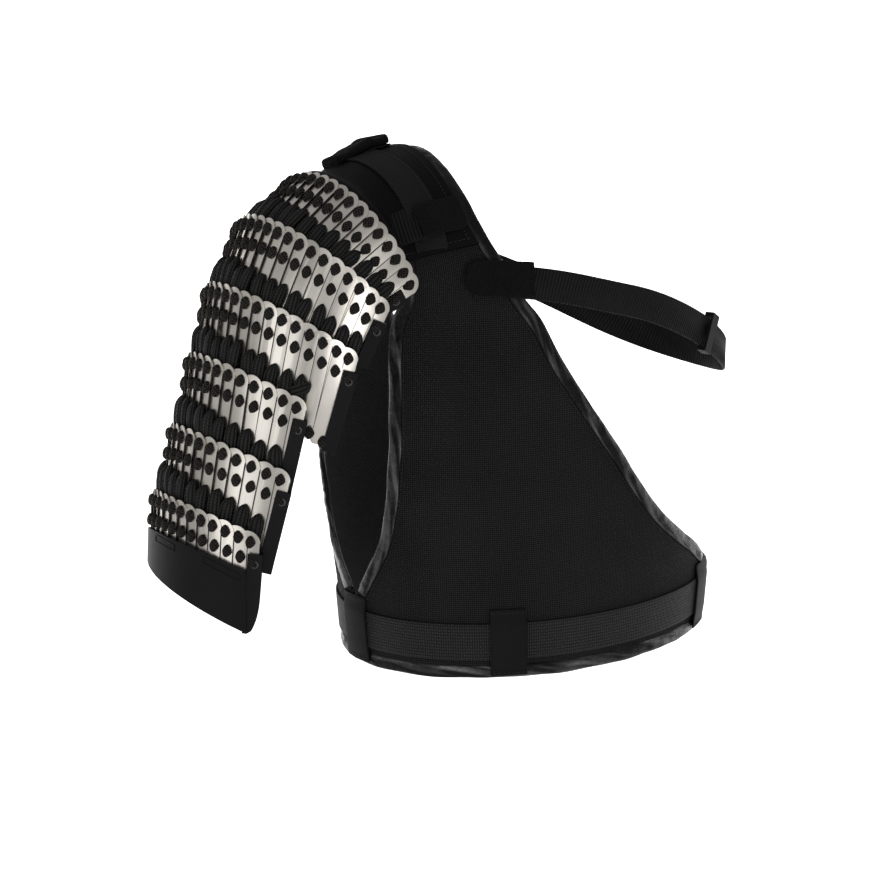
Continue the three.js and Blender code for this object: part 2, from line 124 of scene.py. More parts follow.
def buildWeave(tree, spot, warp, weft):
    # over-under threads on a UV map in metres, warp and weft are thread widths in mm
    x, y, _ = split(tree, spot)
    u, v = countIn(tree, x, warp), countIn(tree, y, weft)
    crossing = calc(tree, "ADD", calc(tree, "FLOOR", u), calc(tree, "FLOOR", v))
    over = calc(tree, "FLOORED_MODULO", crossing, 2.0)
    a, b = ridge(tree, u), ridge(tree, v)
    warpRise = calc(tree, "MULTIPLY", a, calc(tree, "MULTIPLY_ADD", b, 0.7, 0.3))
    weftRise = calc(tree, "MULTIPLY", b, calc(tree, "MULTIPLY_ADD", a, 0.7, 0.1))
    height = addNode(tree, "ShaderNodeMix", {"Factor": over, "A": weftRise, "B": warpRise})["Result"]
    # the second output is painted shade: thread crowns lighter and hollows darker, flecked with noise
    fleck = calc(tree, "ADD", noiseNode(tree, spot, 900.0, 2.0), 0.5)
    return height, calc(tree, "MULTIPLY", height, fleck)


def buildRibs(tree, spot, pitch, slant):
    # parallel ribs across U, pitch in mm, slant is how far they lean along V
    x, y, _ = split(tree, spot)
    wave = ridge(tree, countIn(tree, calc(tree, "MULTIPLY_ADD", y, slant, x), pitch))
    fibre = noiseNode(tree, spot, 1100.0, 3.0)
    # the second output is painted shade: rib crowns lighter and grooves darker, flecked with fibre noise
    return calc(tree, "MULTIPLY_ADD", fibre, 0.35, wave), calc(tree, "MULTIPLY", wave, fibre)


def buildBraid(tree, spot, strands, pitch):
    # herringbone strands round a cord, U counts round it and V runs along it in metres
    x, y, _ = split(tree, spot)
    lane = calc(tree, "MULTIPLY", x, strands)
    odd = calc(tree, "FLOORED_MODULO", calc(tree, "FLOOR", lane), 2.0)
    way = calc(tree, "MULTIPLY_ADD", odd, 2.0, -1.0)
    slope = calc(tree, "MULTIPLY_ADD", calc(tree, "FRACT", lane), way, countIn(tree, y, pitch))
    rise = calc(tree, "MULTIPLY_ADD", ridge(tree, slope), 0.6, 0.4)
    height = calc(tree, "MULTIPLY", rise, ridge(tree, lane))
    # the second output is painted shade: strand crowns lighter and the gaps between strands darker
    return height, calc(tree, "POWER", height, 1.5)


def buildFuzz(tree, spot, scale):
    # tangled loops of hook-and-loop cloth on Object coordinates
    tangle = noiseNode(tree, spot, scale, 4.0, Roughness=0.75, Distortion=1.2)
    tuft = addNode(tree, "ShaderNodeTexVoronoi", {"Vector": spot, "Scale": scale})["Distance"]
    height = calc(tree, "SUBTRACT", tangle, calc(tree, "MULTIPLY", tuft, 0.5))
    # the second output is painted shade: raised tangles lighter and hollows darker
    return height, calc(tree, "POWER", tangle, 3.0)


def buildWear(tree, spot, patch, speckle):
    # slow patches and fine speckle that shift tone and gloss a little
    return noiseNode(tree, spot, patch, 5.0), noiseNode(tree, spot, speckle, 2.0)


def effectGroup(name, build, inputs, outputs=("Height", "Tone")):
    sockets = [("Vector", "Vector", None)] + [(label, "Float", value) for label, value in inputs.items()]
    tree, start, end = newGroup(name, "ShaderNodeTree", sockets, [(label, "Float") for label in outputs])
    results = build(tree, *[start[label] for label, _, _ in sockets])
    for label, value in zip(outputs, results):
        join(tree, value, end[label])
    return tree


effects = {
    "weave": effectGroup("threadWeave", buildWeave, {"Warp": 1.0, "Weft": 1.0}),
    "ribs": effectGroup("ribbing", buildRibs, {"Pitch": 2.0, "Slant": 0.0}),
    "braid": effectGroup("cordBraid", buildBraid, {"Strands": 12.0, "Pitch": 3.0}),
    "fuzz": effectGroup("fuzz", buildFuzz, {"Scale": 700.0}),
    "wear": effectGroup("wear", buildWear, {"Patch": 14.0, "Speckle": 600.0}, ("Patches", "Grain")),
}


def effect(tree, name, **inputs):
    return addNode(tree, "ShaderNodeGroup", inputs, node_tree=effects[name])


def startMaterial(name):
    material = bpy.data.materials.new(name)
    material.use_nodes = True
    return material, material.node_tree, addNode(material.node_tree, "ShaderNodeTexCoord")


def shade(tree, inputs):
    for label, value in inputs.items():
        join(tree, value, tree.nodes["Principled BSDF"].inputs[label])


def blendColor(tree, factor, *ends):
    a, b = (end if isinstance(end, bpy.types.NodeSocket) else (*end, 1) for end in ends)
    return addNode(tree, "ShaderNodeMix", {"Factor": factor, "A": a, "B": b}, data_type="RGBA")["Result"]


def bump(tree, height, relief):
    return addNode(tree, "ShaderNodeBump", {
        "Height": height, "Distance": relief * mm, "Strength": 1.0})["Normal"]


clothLook = {"patch": 16.0, "patchTone": (0.5, 1.5), "roughSpread": 0.06, "sheenRough": 0.5}
textiles = {  # pattern and threads, relief in mm, roughness, shine, dark and light tones of the painted relief shade, and sheen if any
    "wovenNylon": ("weave", {"Warp": 1.5, "Weft": 1.7}, 0.8, 0.7, 0.1,
                   (0.001, 0.001, 0.0011), (0.034, 0.034, 0.036)),
    "beltWebbing": ("weave", {"Warp": 1.9, "Weft": 2.6}, 1.2, 0.52, 0.2,
                    (0.001, 0.001, 0.0011), (0.044, 0.044, 0.045)),
    "elasticWebbing": ("ribs", {"Pitch": 2.8, "Slant": 0.12}, 0.5, 0.55, 0.13,
                       (0.001, 0.001, 0.0011), (0.02, 0.02, 0.0205)),
    "loopBand": ("ribs", {"Pitch": 0.9, "Slant": 0.0}, 0.1, 0.55, 0.12,
                 (0.002, 0.002, 0.0022), (0.008, 0.008, 0.0085)),
    "flapCloth": ("weave", {"Warp": 0.6, "Weft": 0.6}, 0.1, 0.6, 0.08,
                  (0.0015, 0.0015, 0.0016), (0.006, 0.006, 0.0065)),
    "tapeWeave": ("ribs", {"Pitch": 1.7, "Slant": 0.8}, 0.5, 0.7, 0.14,
                  (0.002, 0.002, 0.0022), (0.03, 0.03, 0.031)),
    "hookFuzz": ("fuzz", {"Scale": 480.0}, 1.6, 0.85, 0.12,
                 (0.0015, 0.0015, 0.0015), (0.02, 0.02, 0.021), 0.02),
    "braidedCord": ("braid", {"Strands": 9.0, "Pitch": 2.9}, 1.0, 0.6, 0.15,
                    (0.001, 0.001, 0.001), (0.036, 0.035, 0.034)),
    "knotCord": ("weave", {"Warp": 1.6, "Weft": 2.1}, 1.3, 0.6, 0.13,
                 (0.001, 0.0009, 0.0008), (0.055, 0.05, 0.044)),
    "thread": ("ribs", {"Pitch": 0.3, "Slant": 1.0}, 0.08, 0.5, 0.3,
               (0.012, 0.012, 0.0125), (0.05, 0.05, 0.052)),
}


def clothMaterial(name, kind, threads, relief, rough, shine, dark, light, sheen=0.0):
    # a dark textile: pattern gives thread height and a painted shade, lighter on thread crowns and darker in
    # hollows; wear gives slow patches
    material, tree, place = startMaterial(name)
    pattern = effect(tree, kind, Vector=place["Object" if kind == "fuzz" else "UV"], **threads)
    wear = effect(tree, "wear", Vector=place["Object"], Patch=clothLook["patch"])
    tone = calc(tree, "MULTIPLY", pattern["Tone"], remap(tree, wear["Patches"], *clothLook["patchTone"]))
    spread = clothLook["roughSpread"]
    shade(tree, {
        "Base Color": blendColor(tree, tone, dark, light), "Specular IOR Level": shine,
        "Roughness": remap(tree, wear["Grain"], rough - spread, rough + spread),
        "Sheen Weight": sheen, "Sheen Roughness": clothLook["sheenRough"],
        "Normal": bump(tree, pattern["Height"], relief)})
    return material


# sets the painted highlight streaks on the shine and the painted shade that weakens the shine up at the neck
satinLook = {"dark": (0.001, 0.001, 0.0011), "light": (0.005, 0.005, 0.0055), "rough": (0.16, 0.34),
             "streak": (0.052, 0.006, 1.0), "slant": 0.17, "fold": (0.44, 0.7), "shine": (0.14, 1.35),
             "dull": (-0.04, -0.13), "least": 0.12, "patch": 90.0, "creases": 4.0, "ribs": 0.12,
             "relief": 0.5}


def satinMaterial():
    # black ribbon with painted highlights, its shine raised in noise streaks along it, and painted shade that
    # turns the shine down up at the neck
    look = satinLook
    material, tree, place = startMaterial("satinBinding")
    wear = effect(tree, "wear", Vector=place["Object"], Patch=look["patch"])
    ribs = effect(tree, "ribs", Vector=place["UV"], Pitch=0.45, Slant=0.3)
    course = addNode(
        tree, "ShaderNodeMapping",
        {"Vector": place["UV"], "Rotation": (0, 0, look["slant"]), "Scale": look["streak"]},
        vector_type="TEXTURE")
    # painted highlight: streaks of stronger shine from stretched noise
    highlightStreaks = remap(tree, noiseNode(tree, course["Vector"], 1.0, 1.0), 0, 1, look["fold"])
    # painted shade: the shine falls off towards the top, up at the neck
    height = remap(tree, split(tree, place["Object"])["Z"], look["least"], 1, look["dull"])
    ribRise = calc(tree, "MULTIPLY", ribs["Height"], look["ribs"])
    crease = calc(tree, "MULTIPLY_ADD", wear["Patches"], look["creases"], ribRise)
    shade(tree, {
        "Base Color": blendColor(tree, wear["Patches"], look["dark"], look["light"]),
        "Roughness": remap(tree, wear["Patches"], *look["rough"]),
        "Specular IOR Level": remap(tree, calc(tree, "MULTIPLY", highlightStreaks, height), *look["shine"]),
        "Normal": bump(tree, crease, look["relief"])})
    return material


# wall is a painted shade colour for each scale's side wall and the thin band of face beside it, where the
# shadow between scales falls
steelLook = {"dark": (0.48, 0.45, 0.41), "light": (0.81, 0.77, 0.71), "rough": (0.25, 0.38),
             "wall": (0.03, 0.028, 0.026), "burr": (9.5, -9), "grain": (2600.0, 90.0, 1.0),
             "ownTone": 0.6, "patchTone": 0.65, "relief": 0.02}


def steelMaterial():
    # satin sheet steel: grain along each scale from its UV, one tone per scale from its attribute; side wall
    # and a thin band of face beside it get a near-black painted shade between scales
    look = steelLook
    material, tree, place = startMaterial("brushedSteel")
    wear = effect(tree, "wear", Vector=place["Object"], Patch=35.0, Speckle=400.0)
    stretch = addNode(tree, "ShaderNodeMapping", {"Vector": place["UV"], "Scale": look["grain"]})
    brush = noiseNode(tree, stretch["Vector"], 1.0, 3.0)
    own = addNode(tree, "ShaderNodeAttribute", attribute_name="tone")["Fac"]
    slow = calc(tree, "MULTIPLY", wear["Patches"], look["patchTone"])
    tone = calc(tree, "MULTIPLY_ADD", own, look["ownTone"], slow)
    face = blendColor(tree, tone, look["dark"], look["light"])
    x, y, _ = split(tree, place["UV"])
    # painted shade: the side wall and a band of face along the covering edge take the dark wall colour
    side = calc(tree, "GREATER_THAN", x, look["burr"][0] * mm)
    gapShade = calc(tree, "MULTIPLY", side, calc(tree, "LESS_THAN", y, look["burr"][1] * mm))
    gloss = calc(tree, "MULTIPLY", calc(tree, "ADD", brush, wear["Patches"]), 0.5)
    shade(tree, {
        "Metallic": 1.0, "Base Color": blendColor(tree, gapShade, face, look["wall"]),
        "Roughness": remap(tree, gloss, *look["rough"]), "Normal": bump(tree, brush, look["relief"])})
    return material


mouldedLook = {"dark": (0.0025, 0.0025, 0.0032), "light": (0.007, 0.007, 0.0085), "relief": 0.08}


def mouldedMaterial(name, specular, rough):
    material, tree, place = startMaterial(name)
    wear = effect(tree, "wear", Vector=place["Object"], Patch=25.0, Speckle=1500.0)
    shade(tree, {
        "Base Color": blendColor(tree, wear["Patches"], mouldedLook["dark"], mouldedLook["light"]),
        "Roughness": remap(tree, wear["Grain"], *rough), "Specular IOR Level": specular,
        "Normal": bump(tree, wear["Grain"], mouldedLook["relief"])})
    return material


finishes = {name: clothMaterial(name, *look) for name, look in textiles.items()}
finishes["satinBinding"] = satinMaterial()
finishes["brushedSteel"] = steelMaterial()
finishes["mouldedBlack"] = mouldedMaterial("mouldedBlack", 0.13, (0.4, 0.6))
finishes["eyeletGloss"] = mouldedMaterial("eyeletGloss", 0.7, (0.2, 0.3))
print("finishes ready:", len(finishes))


# body surface, as the solids have it

body = {  # sections from the hem up the chest and over the shoulder, in mm and degrees
    "z": [-418, -372, -356, -304, -223, -152, -118, -118, -118, -118],
    "tilt": [0, 0, 0, 0, 0, 0, 0, 30, 60, 90],
    "halfWidth": [163, 167, 169, 176, 186, 190, 196, 240, 280, 300],
    "depth": [119, 121, 121, 123, 124, 123, 122, 122, 121, 120],
    "armhole": [-89.9, -89.9, -87, -72.5, -65.5, -64, -60, -46, -40, -38.5],
    "inner": [53, 50, 45, 17, -4, -18.5, -24, -27, -24, -21],
}
crestPlace = len(body["z"]) - 1
seatX = -136
seatRise = math.cos(math.asin(seatX / body["halfWidth"][-1]))
seat = np.array([seatX, 0, body["z"][-1] + body["depth"][-1] * seatRise])


def column(values, place):
    # smooth value of a table's column that never swings past its rows
    values, place = np.asarray(values, float), np.asarray(place, float)
    i = np.clip(np.floor(place).astype(int), 0, len(values) - 2)
    t = place - i
    a, b, c, d = (values[np.clip(i + k, 0, len(values) - 1)] for k in (-1, 0, 1, 2))

    def slope(before, after):
        total = np.where(before + after == 0, 1, before + after)
        return np.where(before * after > 0, 2 * before * after / total, 0)

    return (b * (2 * t**3 - 3 * t**2 + 1) + slope(b - a, c - b) * (t**3 - 2 * t**2 + t)
            + c * (3 * t**2 - 2 * t**3) + slope(c - b, d - c) * (t**3 - t**2))


def sectionAt(place):
    return {name: column(values, place) for name, values in body.items()}


def sectionWhere(name, value):
    value = np.asarray(value, float)
    low, high = np.zeros_like(value), np.full_like(value, crestPlace)
    for _ in range(30):
        middle = (low + high) / 2
        above = column(body[name], middle) >= value
        high, low = np.where(above, middle, high), np.where(above, low, middle)
    return {**sectionAt(high), name: value}


def sectionAtTilt(tilt):
    tilt = np.asarray(tilt, float)
    return {**sectionWhere("tilt", np.minimum(tilt, 180 - tilt)), "tilt": tilt}


def asColumns(section):
    return {name: np.asarray(values)[:, None] for name, values in section.items()}


def bodyPoint(section, angle, off, side=1):
    turn, tilt = np.asarray(angle, float) * degree, section["tilt"] * degree
    a, b = section["halfWidth"], section["depth"]
    nx, nr = np.sin(turn) / a, np.cos(turn) / b
    size = np.hypot(nx, nr)
    x = a * np.sin(turn) + nx / size * off
    out = b * np.cos(turn) + nr / size * off
    return (stacked(x, -side * out * np.cos(tilt), section["z"] + out * np.sin(tilt)) - seat) * mm


def bodyLine(section, angle, off, side=1):
    # points over the body and their outward directions
    points = bodyPoint(section, angle, off, side)
    return points, unit(bodyPoint(section, angle, off + 1, side) - points)


def angleOfX(section, x):
    return np.arcsin(x / section["halfWidth"]) / degree


def stacked(*parts):
    return np.stack(np.broadcast_arrays(*parts), -1)


def unit(v):
    return v / np.maximum(np.linalg.norm(v, axis=-1, keepdims=True), 1e-12)


def runLength(points, closed=False):
    steps = np.linalg.norm(np.diff(points, axis=0), axis=-1)
    if closed:
        steps = np.append(steps, np.linalg.norm(points[0] - points[-1]))
    return np.concatenate([[0], np.cumsum(steps)])


def courseOf(points, closed=False):
    if closed:
        return unit(np.roll(points, -1, 0) - np.roll(points, 1, 0))
    return unit(np.gradient(points, axis=0))


def ease(t):
    t = np.clip(t, 0, 1)
    return t * t * (3 - 2 * t)


def smoothed(points, reach):
    # evens out small kinks in a row of points, holding its ends
    run = runLength(points)
    kept = np.minimum(np.minimum(run, run[-1] - run), reach)[:, None] / reach
    weights = np.maximum(0, 1 - np.abs(run[:, None] - run[None]) / reach)
    even = weights @ points / weights.sum(1, keepdims=True)
    return points + (even - points) * ease(kept)


def noiseAt(points, scale, seed):
    shift = Vector((seed, seed * 0.7, -seed * 1.3))
    values = [noise.noise(Vector(p) * scale + shift) for p in points.reshape(-1, 3)]
    return np.array(values).reshape(points.shape[:-1])


# mesh helpers

def uvGrid(along, around):
    return stacked(along[:, None], around[None])


def meshObject(name, verts, faces, uv=None, edges=()):
    mesh = bpy.data.meshes.new(name)
    mesh.from_pydata([tuple(v) for v in verts], list(edges), [tuple(f) for f in faces])
    if uv is not None:
        mesh.uv_layers.new(name="UVMap").data.foreach_set("uv", np.asarray(uv, np.float32).ravel())
    made = bpy.data.objects.new(name, mesh)
    scene.collection.objects.link(made)
    return made


def shadeSmooth(mesh, sharp):
    mesh.shade_smooth()
    mesh.set_sharp_from_angle(angle=sharp * degree)


def tube(name, rings, uv, closed=False, sharp=50):
    # closed rings of equal counts, uv has one more row and column than the seam needs
    rows, count = rings.shape[:2]
    faces, corners = [], []
    for r in range(rows if closed else rows - 1):
        q = (r + 1) % rows
        for i in range(count):
            j = (i + 1) % count
            faces.append((r * count + i, r * count + j, q * count + j, q * count + i))
            corners += [uv[r, i], uv[r, i + 1], uv[r + 1, i + 1], uv[r + 1, i]]
    if not closed:
        for row, order in ((0, range(count - 1, -1, -1)), (rows - 1, range(count))):
            faces.append([row * count + i for i in order])
            corners += [uv[row, i] for i in order]
    made = meshObject(name, rings.reshape(-1, 3), faces, corners)
    work = bmesh.new()
    work.from_mesh(made.data)
    bmesh.ops.remove_doubles(work, verts=work.verts, dist=1e-7)
    bmesh.ops.recalc_face_normals(work, faces=work.faces)
    work.to_mesh(made.data)
    work.free()
    shadeSmooth(made.data, sharp)
    return made


strapMake = {"corner": 3, "flat": 7, "lumpyFlat": 18, "lumpRoot": 0.2, "lumpSide": 0.5}


def strapOutline(width, thickness, flat):
    # closed outline of a flat strap with rolled edges: across, off and run round it, in mm
    r = thickness / 2
    half = width / 2 - r
    turns = np.linspace(0, math.pi, strapMake["corner"] + 2)[1:-1]
    top = [(x, thickness) for x in np.linspace(-half, half, flat)]
    right = [(half + r * math.sin(t), r + r * math.cos(t)) for t in turns]
    low = [(x, 0) for x in np.linspace(half, -half, flat)]
    left = [(-half - r * math.sin(t), r - r * math.cos(t)) for t in turns]
    outline = np.array(top + right + low + left)
    return outline, runLength(outline, True)


def strapTube(name, points, ups, width, thickness, closed=False, share=1.0, ripple=None, lumps=None,
              sharp=60):
    outline, around = strapOutline(width, thickness, strapMake["flat" if lumps is None else "lumpyFlat"])
    across = unit(np.cross(courseOf(points, closed), ups))
    side = outline[None, :, 0] * np.broadcast_to(share, len(points))[:, None]
    lift = np.broadcast_to(outline[None, :, 1], side.shape)
    if ripple is not None:
        lift = lift + np.where(lift > thickness / 2, 1, -1) * ripple[:, None]
    rings = points[:, None] + (across[:, None] * side[..., None] + ups[:, None] * lift[..., None]) * mm
    if lumps is not None:
        size, scale, seed = lumps
        root = np.clip(outline[None, :, 1] / thickness, strapMake["lumpRoot"], 1)
        swell = (size * noiseAt(rings, scale, seed) * root)[..., None]
        rings += (ups[:, None] * swell + across[:, None] * strapMake["lumpSide"] * swell) * mm
    return tube(name, rings, uvGrid(runLength(points, closed), around * mm), closed, sharp)


def shellTube(name, top, low, uv):
    # a sheet between two grids of points, with uv for the top grid
    rings = np.concatenate([top, low[:, ::-1]], 1)
    full = np.concatenate([uv, uv[:, ::-1], uv[:, :1]], 1)
    return tube(name, rings, full, sharp=60)


def setFinish(made, finish):
    made.data.materials.clear()
    made.data.materials.append(finishes[finish])


def finishPiece(made, finish, slot, *nodes):
    setFinish(made, finish)
    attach(made, "root")
    if nodes:
        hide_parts(*nodes)


def addBevel(made, width, segments, angle):
    bevel = made.modifiers.new("bevel", "BEVEL")
    bevel.width, bevel.segments = width * mm, segments
    bevel.limit_method, bevel.angle_limit = "ANGLE", angle * degree
    return bevel


def rollEdges(node, width, segments):
    made = frame["nodes"][node]
    setFinish(made, "mouldedBlack")
    made.modifiers.new("weld", "WELD").merge_threshold = 1e-6
    addBevel(made, width, segments, 40).harden_normals = True


# camera, light and floor

view = {"azimuth": -35, "elevation": 14.5, "distance": 2.2, "focalPixels": 2640, "imagePixels": 887,
        "target": (0.0802, 0.0393, -0.250), "sensor": 36, "clip": (0.05, 200)}
studio = {
    "floorZ": -1.35, "floorSize": 90,
    "floorTones": ((0.88,) * 3, (0.92,) * 3), "skyTones": ((0.5,) * 3, (0.34,) * 3),
    "backdrop": {"reach": 13.4, "height": 0.15, "long": 20, "wide": 9, "power": 1150},
    "lamps": [  # name, place, aim, size, power
        ("keyLamp", (-0.85, -2.4, -0.55), (-0.1, -0.08, -0.12), 1.2, 12),
        ("fillLamp", (-1.5, -2.2, 1.4), (-0.1, 0.0, -0.2), 1.8, 6),
        ("sideLamp", (-2.6, -0.4, -0.45), (-0.1, 0.0, -0.2), 1.5, 7),
    ],
}


def setUp(name, data, spot, course):
    made = bpy.data.objects.new(name, data)
    made.location = spot
    made.rotation_mode = "QUATERNION"
    made.rotation_quaternion = course.to_track_quat("-Z", "Y")
    scene.collection.objects.link(made)
    return made


def makeCamera():
    data = bpy.data.cameras.new("photoCamera")
    data.sensor_width = view["sensor"]
    data.lens = view["sensor"] * view["focalPixels"] / view["imagePixels"]
    data.clip_start, data.clip_end = view["clip"]
    a, e = view["azimuth"] * degree, view["elevation"] * degree
    back = Vector((math.sin(a) * math.cos(e), -math.cos(a) * math.cos(e), math.sin(e)))
    scene.camera = setUp("photoCamera", data, Vector(view["target"]) + back * view["distance"], -back)


def addLamp(name, spot, aim, wide, long, power):
    data = bpy.data.lights.new(name, "AREA")
    data.shape, data.size, data.size_y, data.energy = "RECTANGLE", wide, long, power
    return setUp(name, data, spot, Vector(aim) - Vector(spot))


def makeStudio():
    material, tree, place = startMaterial("paleFloor")
    wear = effect(tree, "wear", Vector=place["Object"], Patch=2.0, Speckle=80.0)
    tone = blendColor(tree, wear["Patches"], *studio["floorTones"])
    shade(tree, {"Base Color": tone, "Roughness": 0.9, "Specular IOR Level": 0.1})
    half, z = studio["floorSize"] / 2, studio["floorZ"]
    corners = [(-half, -half, z), (half, -half, z), (half, half, z), (-half, half, z)]
    floor = meshObject("floor", corners, [(0, 1, 2, 3)])
    floor.data.materials.append(material)
    world = bpy.data.worlds.new("studio")
    world.use_nodes = True
    tree = world.node_tree
    height = split(tree, addNode(tree, "ShaderNodeTexCoord")["Generated"])["Z"]
    join(tree, blendColor(tree, height, *studio["skyTones"]), tree.nodes["Background"].inputs["Color"])
    scene.world = world
    for name, spot, aim, size, power in studio["lamps"]:
        addLamp(name, spot, aim, size, size, power)
    wash = studio["backdrop"]
    a, e = view["azimuth"] * degree, view["elevation"] * degree
    reach = wash["reach"] - view["distance"] * math.cos(e)
    x, y = view["target"][0] - reach * math.sin(a), view["target"][1] + reach * math.cos(a)
    size = wash["wide"], wash["long"]
    lamp = addLamp("backdropLamp", (x, y, wash["height"]), (x, y, z), *size, wash["power"])
    lamp.rotation_mode = "XYZ"
    lamp.rotation_euler = (0, 0, a)
    scene.view_settings.view_transform = "Standard"


makeCamera()
makeStudio()
print("camera and studio set")


# repeated pieces: one tree sets a template on points, one runs stitches along lines

def attributeNode(tree, name):
    kind = "GeometryNodeInputNamedAttribute"
    return addNode(tree, kind, {"Name": name}, data_type="FLOAT_VECTOR")["Attribute"]


def startRepeats(name, sockets):
    sockets = [("Geometry", "Geometry", None), ("Template", "Object", None), *sockets,
               ("Seed", "Int", 1), ("Finish", "Material", None)]
    tree, start, end = newGroup(name, "GeometryNodeTree", sockets, [("Geometry", "Geometry")])
    info = addNode(tree, "GeometryNodeObjectInfo", {"Object": start["Template"]}, transform_space="ORIGINAL")
    return tree, start, end, info["Geometry"]


def placeRepeats(tree, points, template, front, size=None):
    turn = addNode(
        tree, "FunctionNodeAxesToRotation",
        {"Primary Axis": attributeNode(tree, "outward"), "Secondary Axis": front},
        primary_axis="Z", secondary_axis="X")
    return addNode(tree, "GeometryNodeInstanceOnPoints", {
        "Points": points, "Instance": template, "Rotation": turn["Rotation"], "Scale": size})["Instances"]


def rotateRepeats(tree, placed, turn):
    return addNode(tree, "GeometryNodeRotateInstances", {"Instances": placed, "Rotation": turn})["Instances"]


def endRepeats(tree, start, end, instances):
    whole = addNode(tree, "GeometryNodeRealizeInstances", {"Geometry": instances})
    dressed = addNode(tree, "GeometryNodeSetMaterial", {
        "Geometry": whole["Geometry"], "Material": start["Finish"]})
    join(tree, dressed["Geometry"], end["Geometry"])
    return tree


def buildSetting():
    # sets a template on every point, turned by the point's front and outward directions
    tree, start, end, template = startRepeats("setOnPoints", [
        ("Extra Length", "Float", 0.0), ("Stretch From", "Float", -1.0), ("Looseness", "Float", 0.0)])
    height = split(tree, addNode(tree, "GeometryNodeInputPosition")["Position"])["Y"]
    low = addNode(tree, "FunctionNodeCompare", {"A": height, "B": start["Stretch From"]},
                  data_type="FLOAT", operation="LESS_THAN")
    drop = addNode(tree, "ShaderNodeCombineXYZ", {"Y": calc(tree, "MULTIPLY", start["Extra Length"], -1.0)})
    longer = addNode(tree, "GeometryNodeSetPosition", {
        "Geometry": template, "Selection": low["Result"], "Offset": drop["Vector"]})
    front, size = attributeNode(tree, "front"), attributeNode(tree, "size")
    placed = placeRepeats(tree, start["Geometry"], longer["Geometry"], front, size)
    less = calc(tree, "MULTIPLY", start["Looseness"], -1.0)
    least, most = (addNode(tree, "ShaderNodeCombineXYZ", {axis: value for axis in "XYZ"})["Vector"]
                   for value in (less, start["Looseness"]))
    sway = addNode(tree, "FunctionNodeRandomValue", {"Min": least, "Max": most, "Seed": start["Seed"]},
                   data_type="FLOAT_VECTOR")
    own = addNode(tree, "FunctionNodeRandomValue", {"Seed": start["Seed"]}, data_type="FLOAT")
    toned = addNode(
        tree, "GeometryNodeStoreNamedAttribute",
        {"Geometry": rotateRepeats(tree, placed, sway["Value"]), "Name": "tone", "Value": own[1]},
        data_type="FLOAT", domain="INSTANCE")
    return endRepeats(tree, start, end, toned["Geometry"])


def buildStitching():
    # short threads end to end along the edges of a line mesh
    tree, start, end, template = startRepeats("stitchRun", [
        ("Pitch", "Float", 0.0034), ("Looseness", "Float", 0.05)])
    line = addNode(tree, "GeometryNodeMeshToCurve", {"Mesh": start["Geometry"]})
    even = addNode(tree, "GeometryNodeResampleCurve", {"Curve": line["Curve"], "Length": start["Pitch"]},
                   mode="LENGTH")
    course = addNode(tree, "GeometryNodeInputTangent")["Tangent"]
    placed = placeRepeats(tree, even["Curve"], template, course)
    less = calc(tree, "MULTIPLY", start["Looseness"], -1.0)
    sway = addNode(tree, "FunctionNodeRandomValue", {2: less, 3: start["Looseness"], "Seed": start["Seed"]},
                   data_type="FLOAT")
    about = addNode(tree, "ShaderNodeCombineXYZ", {"Z": sway[1]})
    return endRepeats(tree, start, end, rotateRepeats(tree, placed, about["Vector"]))


settingTree, stitchTree = buildSetting(), buildStitching()


def runTree(made, tree, template, finish, sharp, **inputs):
    # evaluates a tree on an object once and keeps the result as a plain mesh
    modifier = made.modifiers.new(tree.name, "NODES")
    modifier.node_group = tree
    sockets = {item.name: item.identifier for item in tree.interface.items_tree if item.in_out == "INPUT"}
    for label, value in {"Template": template, "Finish": finishes[finish], **inputs}.items():
        modifier[sockets[label.replace("_", " ")]] = value
    bpy.context.view_layer.update()
    shaped = made.evaluated_get(bpy.context.evaluated_depsgraph_get())
    mesh = bpy.data.meshes.new_from_object(shaped)
    made.modifiers.remove(modifier)
    old, made.data = made.data, mesh
    bpy.data.meshes.remove(old)
    mesh.name = made.name
    shadeSmooth(mesh, sharp)


def vectorAttribute(mesh, name, values):
    mesh.attributes.new(name, "FLOAT_VECTOR", "POINT").data.foreach_set(
        "vector", np.asarray(values, np.float32).ravel())


def setOnPoints(name, template, spots, row, finish, slot, *nodes, sharp=180, sizes=(1, 1, 1), **inputs):
    made = meshObject(name, spots, [])
    vectorAttribute(made.data, "size", np.broadcast_to(sizes, (len(spots), 3)))
    vectorAttribute(made.data, "front", row["front"])
    vectorAttribute(made.data, "outward", row["out"])
    runTree(made, settingTree, template, finish, sharp, **inputs)
    finishPiece(made, finish, slot, *nodes)


def dropTemplate(made):
    mesh = made.data
    bpy.data.objects.remove(made)
    bpy.data.meshes.remove(mesh)


# guard rows, as the solids have them

guardRows = {  # arcs the rows hang from, with the edge under the last row, in mm and degrees
    "crestX": [-206, -256, -286, -302, -318, -335, -347],
    "crestY": [-8, -8, -5, -2, 0, 0, 0],
    "crestZ": [-15, -43, -93, -147, -202, -253, -305],
    "lean": [23, 42, 52, 56, 59, 60, 62],
    "radius": [91, 92, 95, 96, 97, 98, 104],
    "scales": [23, 23, 21, 15, 15, 15],
    "pitch": [11.7, 11.4, 11.8, 12.6, 12.8, 11.2],
    "length": [62, 70, 80, 80, 80, 48],
    "endLength": [45, 51, 79, 79, 79, 48],
    "bare": [1, 1, 3, 1, 1],
    "layerGap": 9,
}
lastRow = len(guardRows["scales"]) - 1
lastPitch = guardRows["pitch"][lastRow]


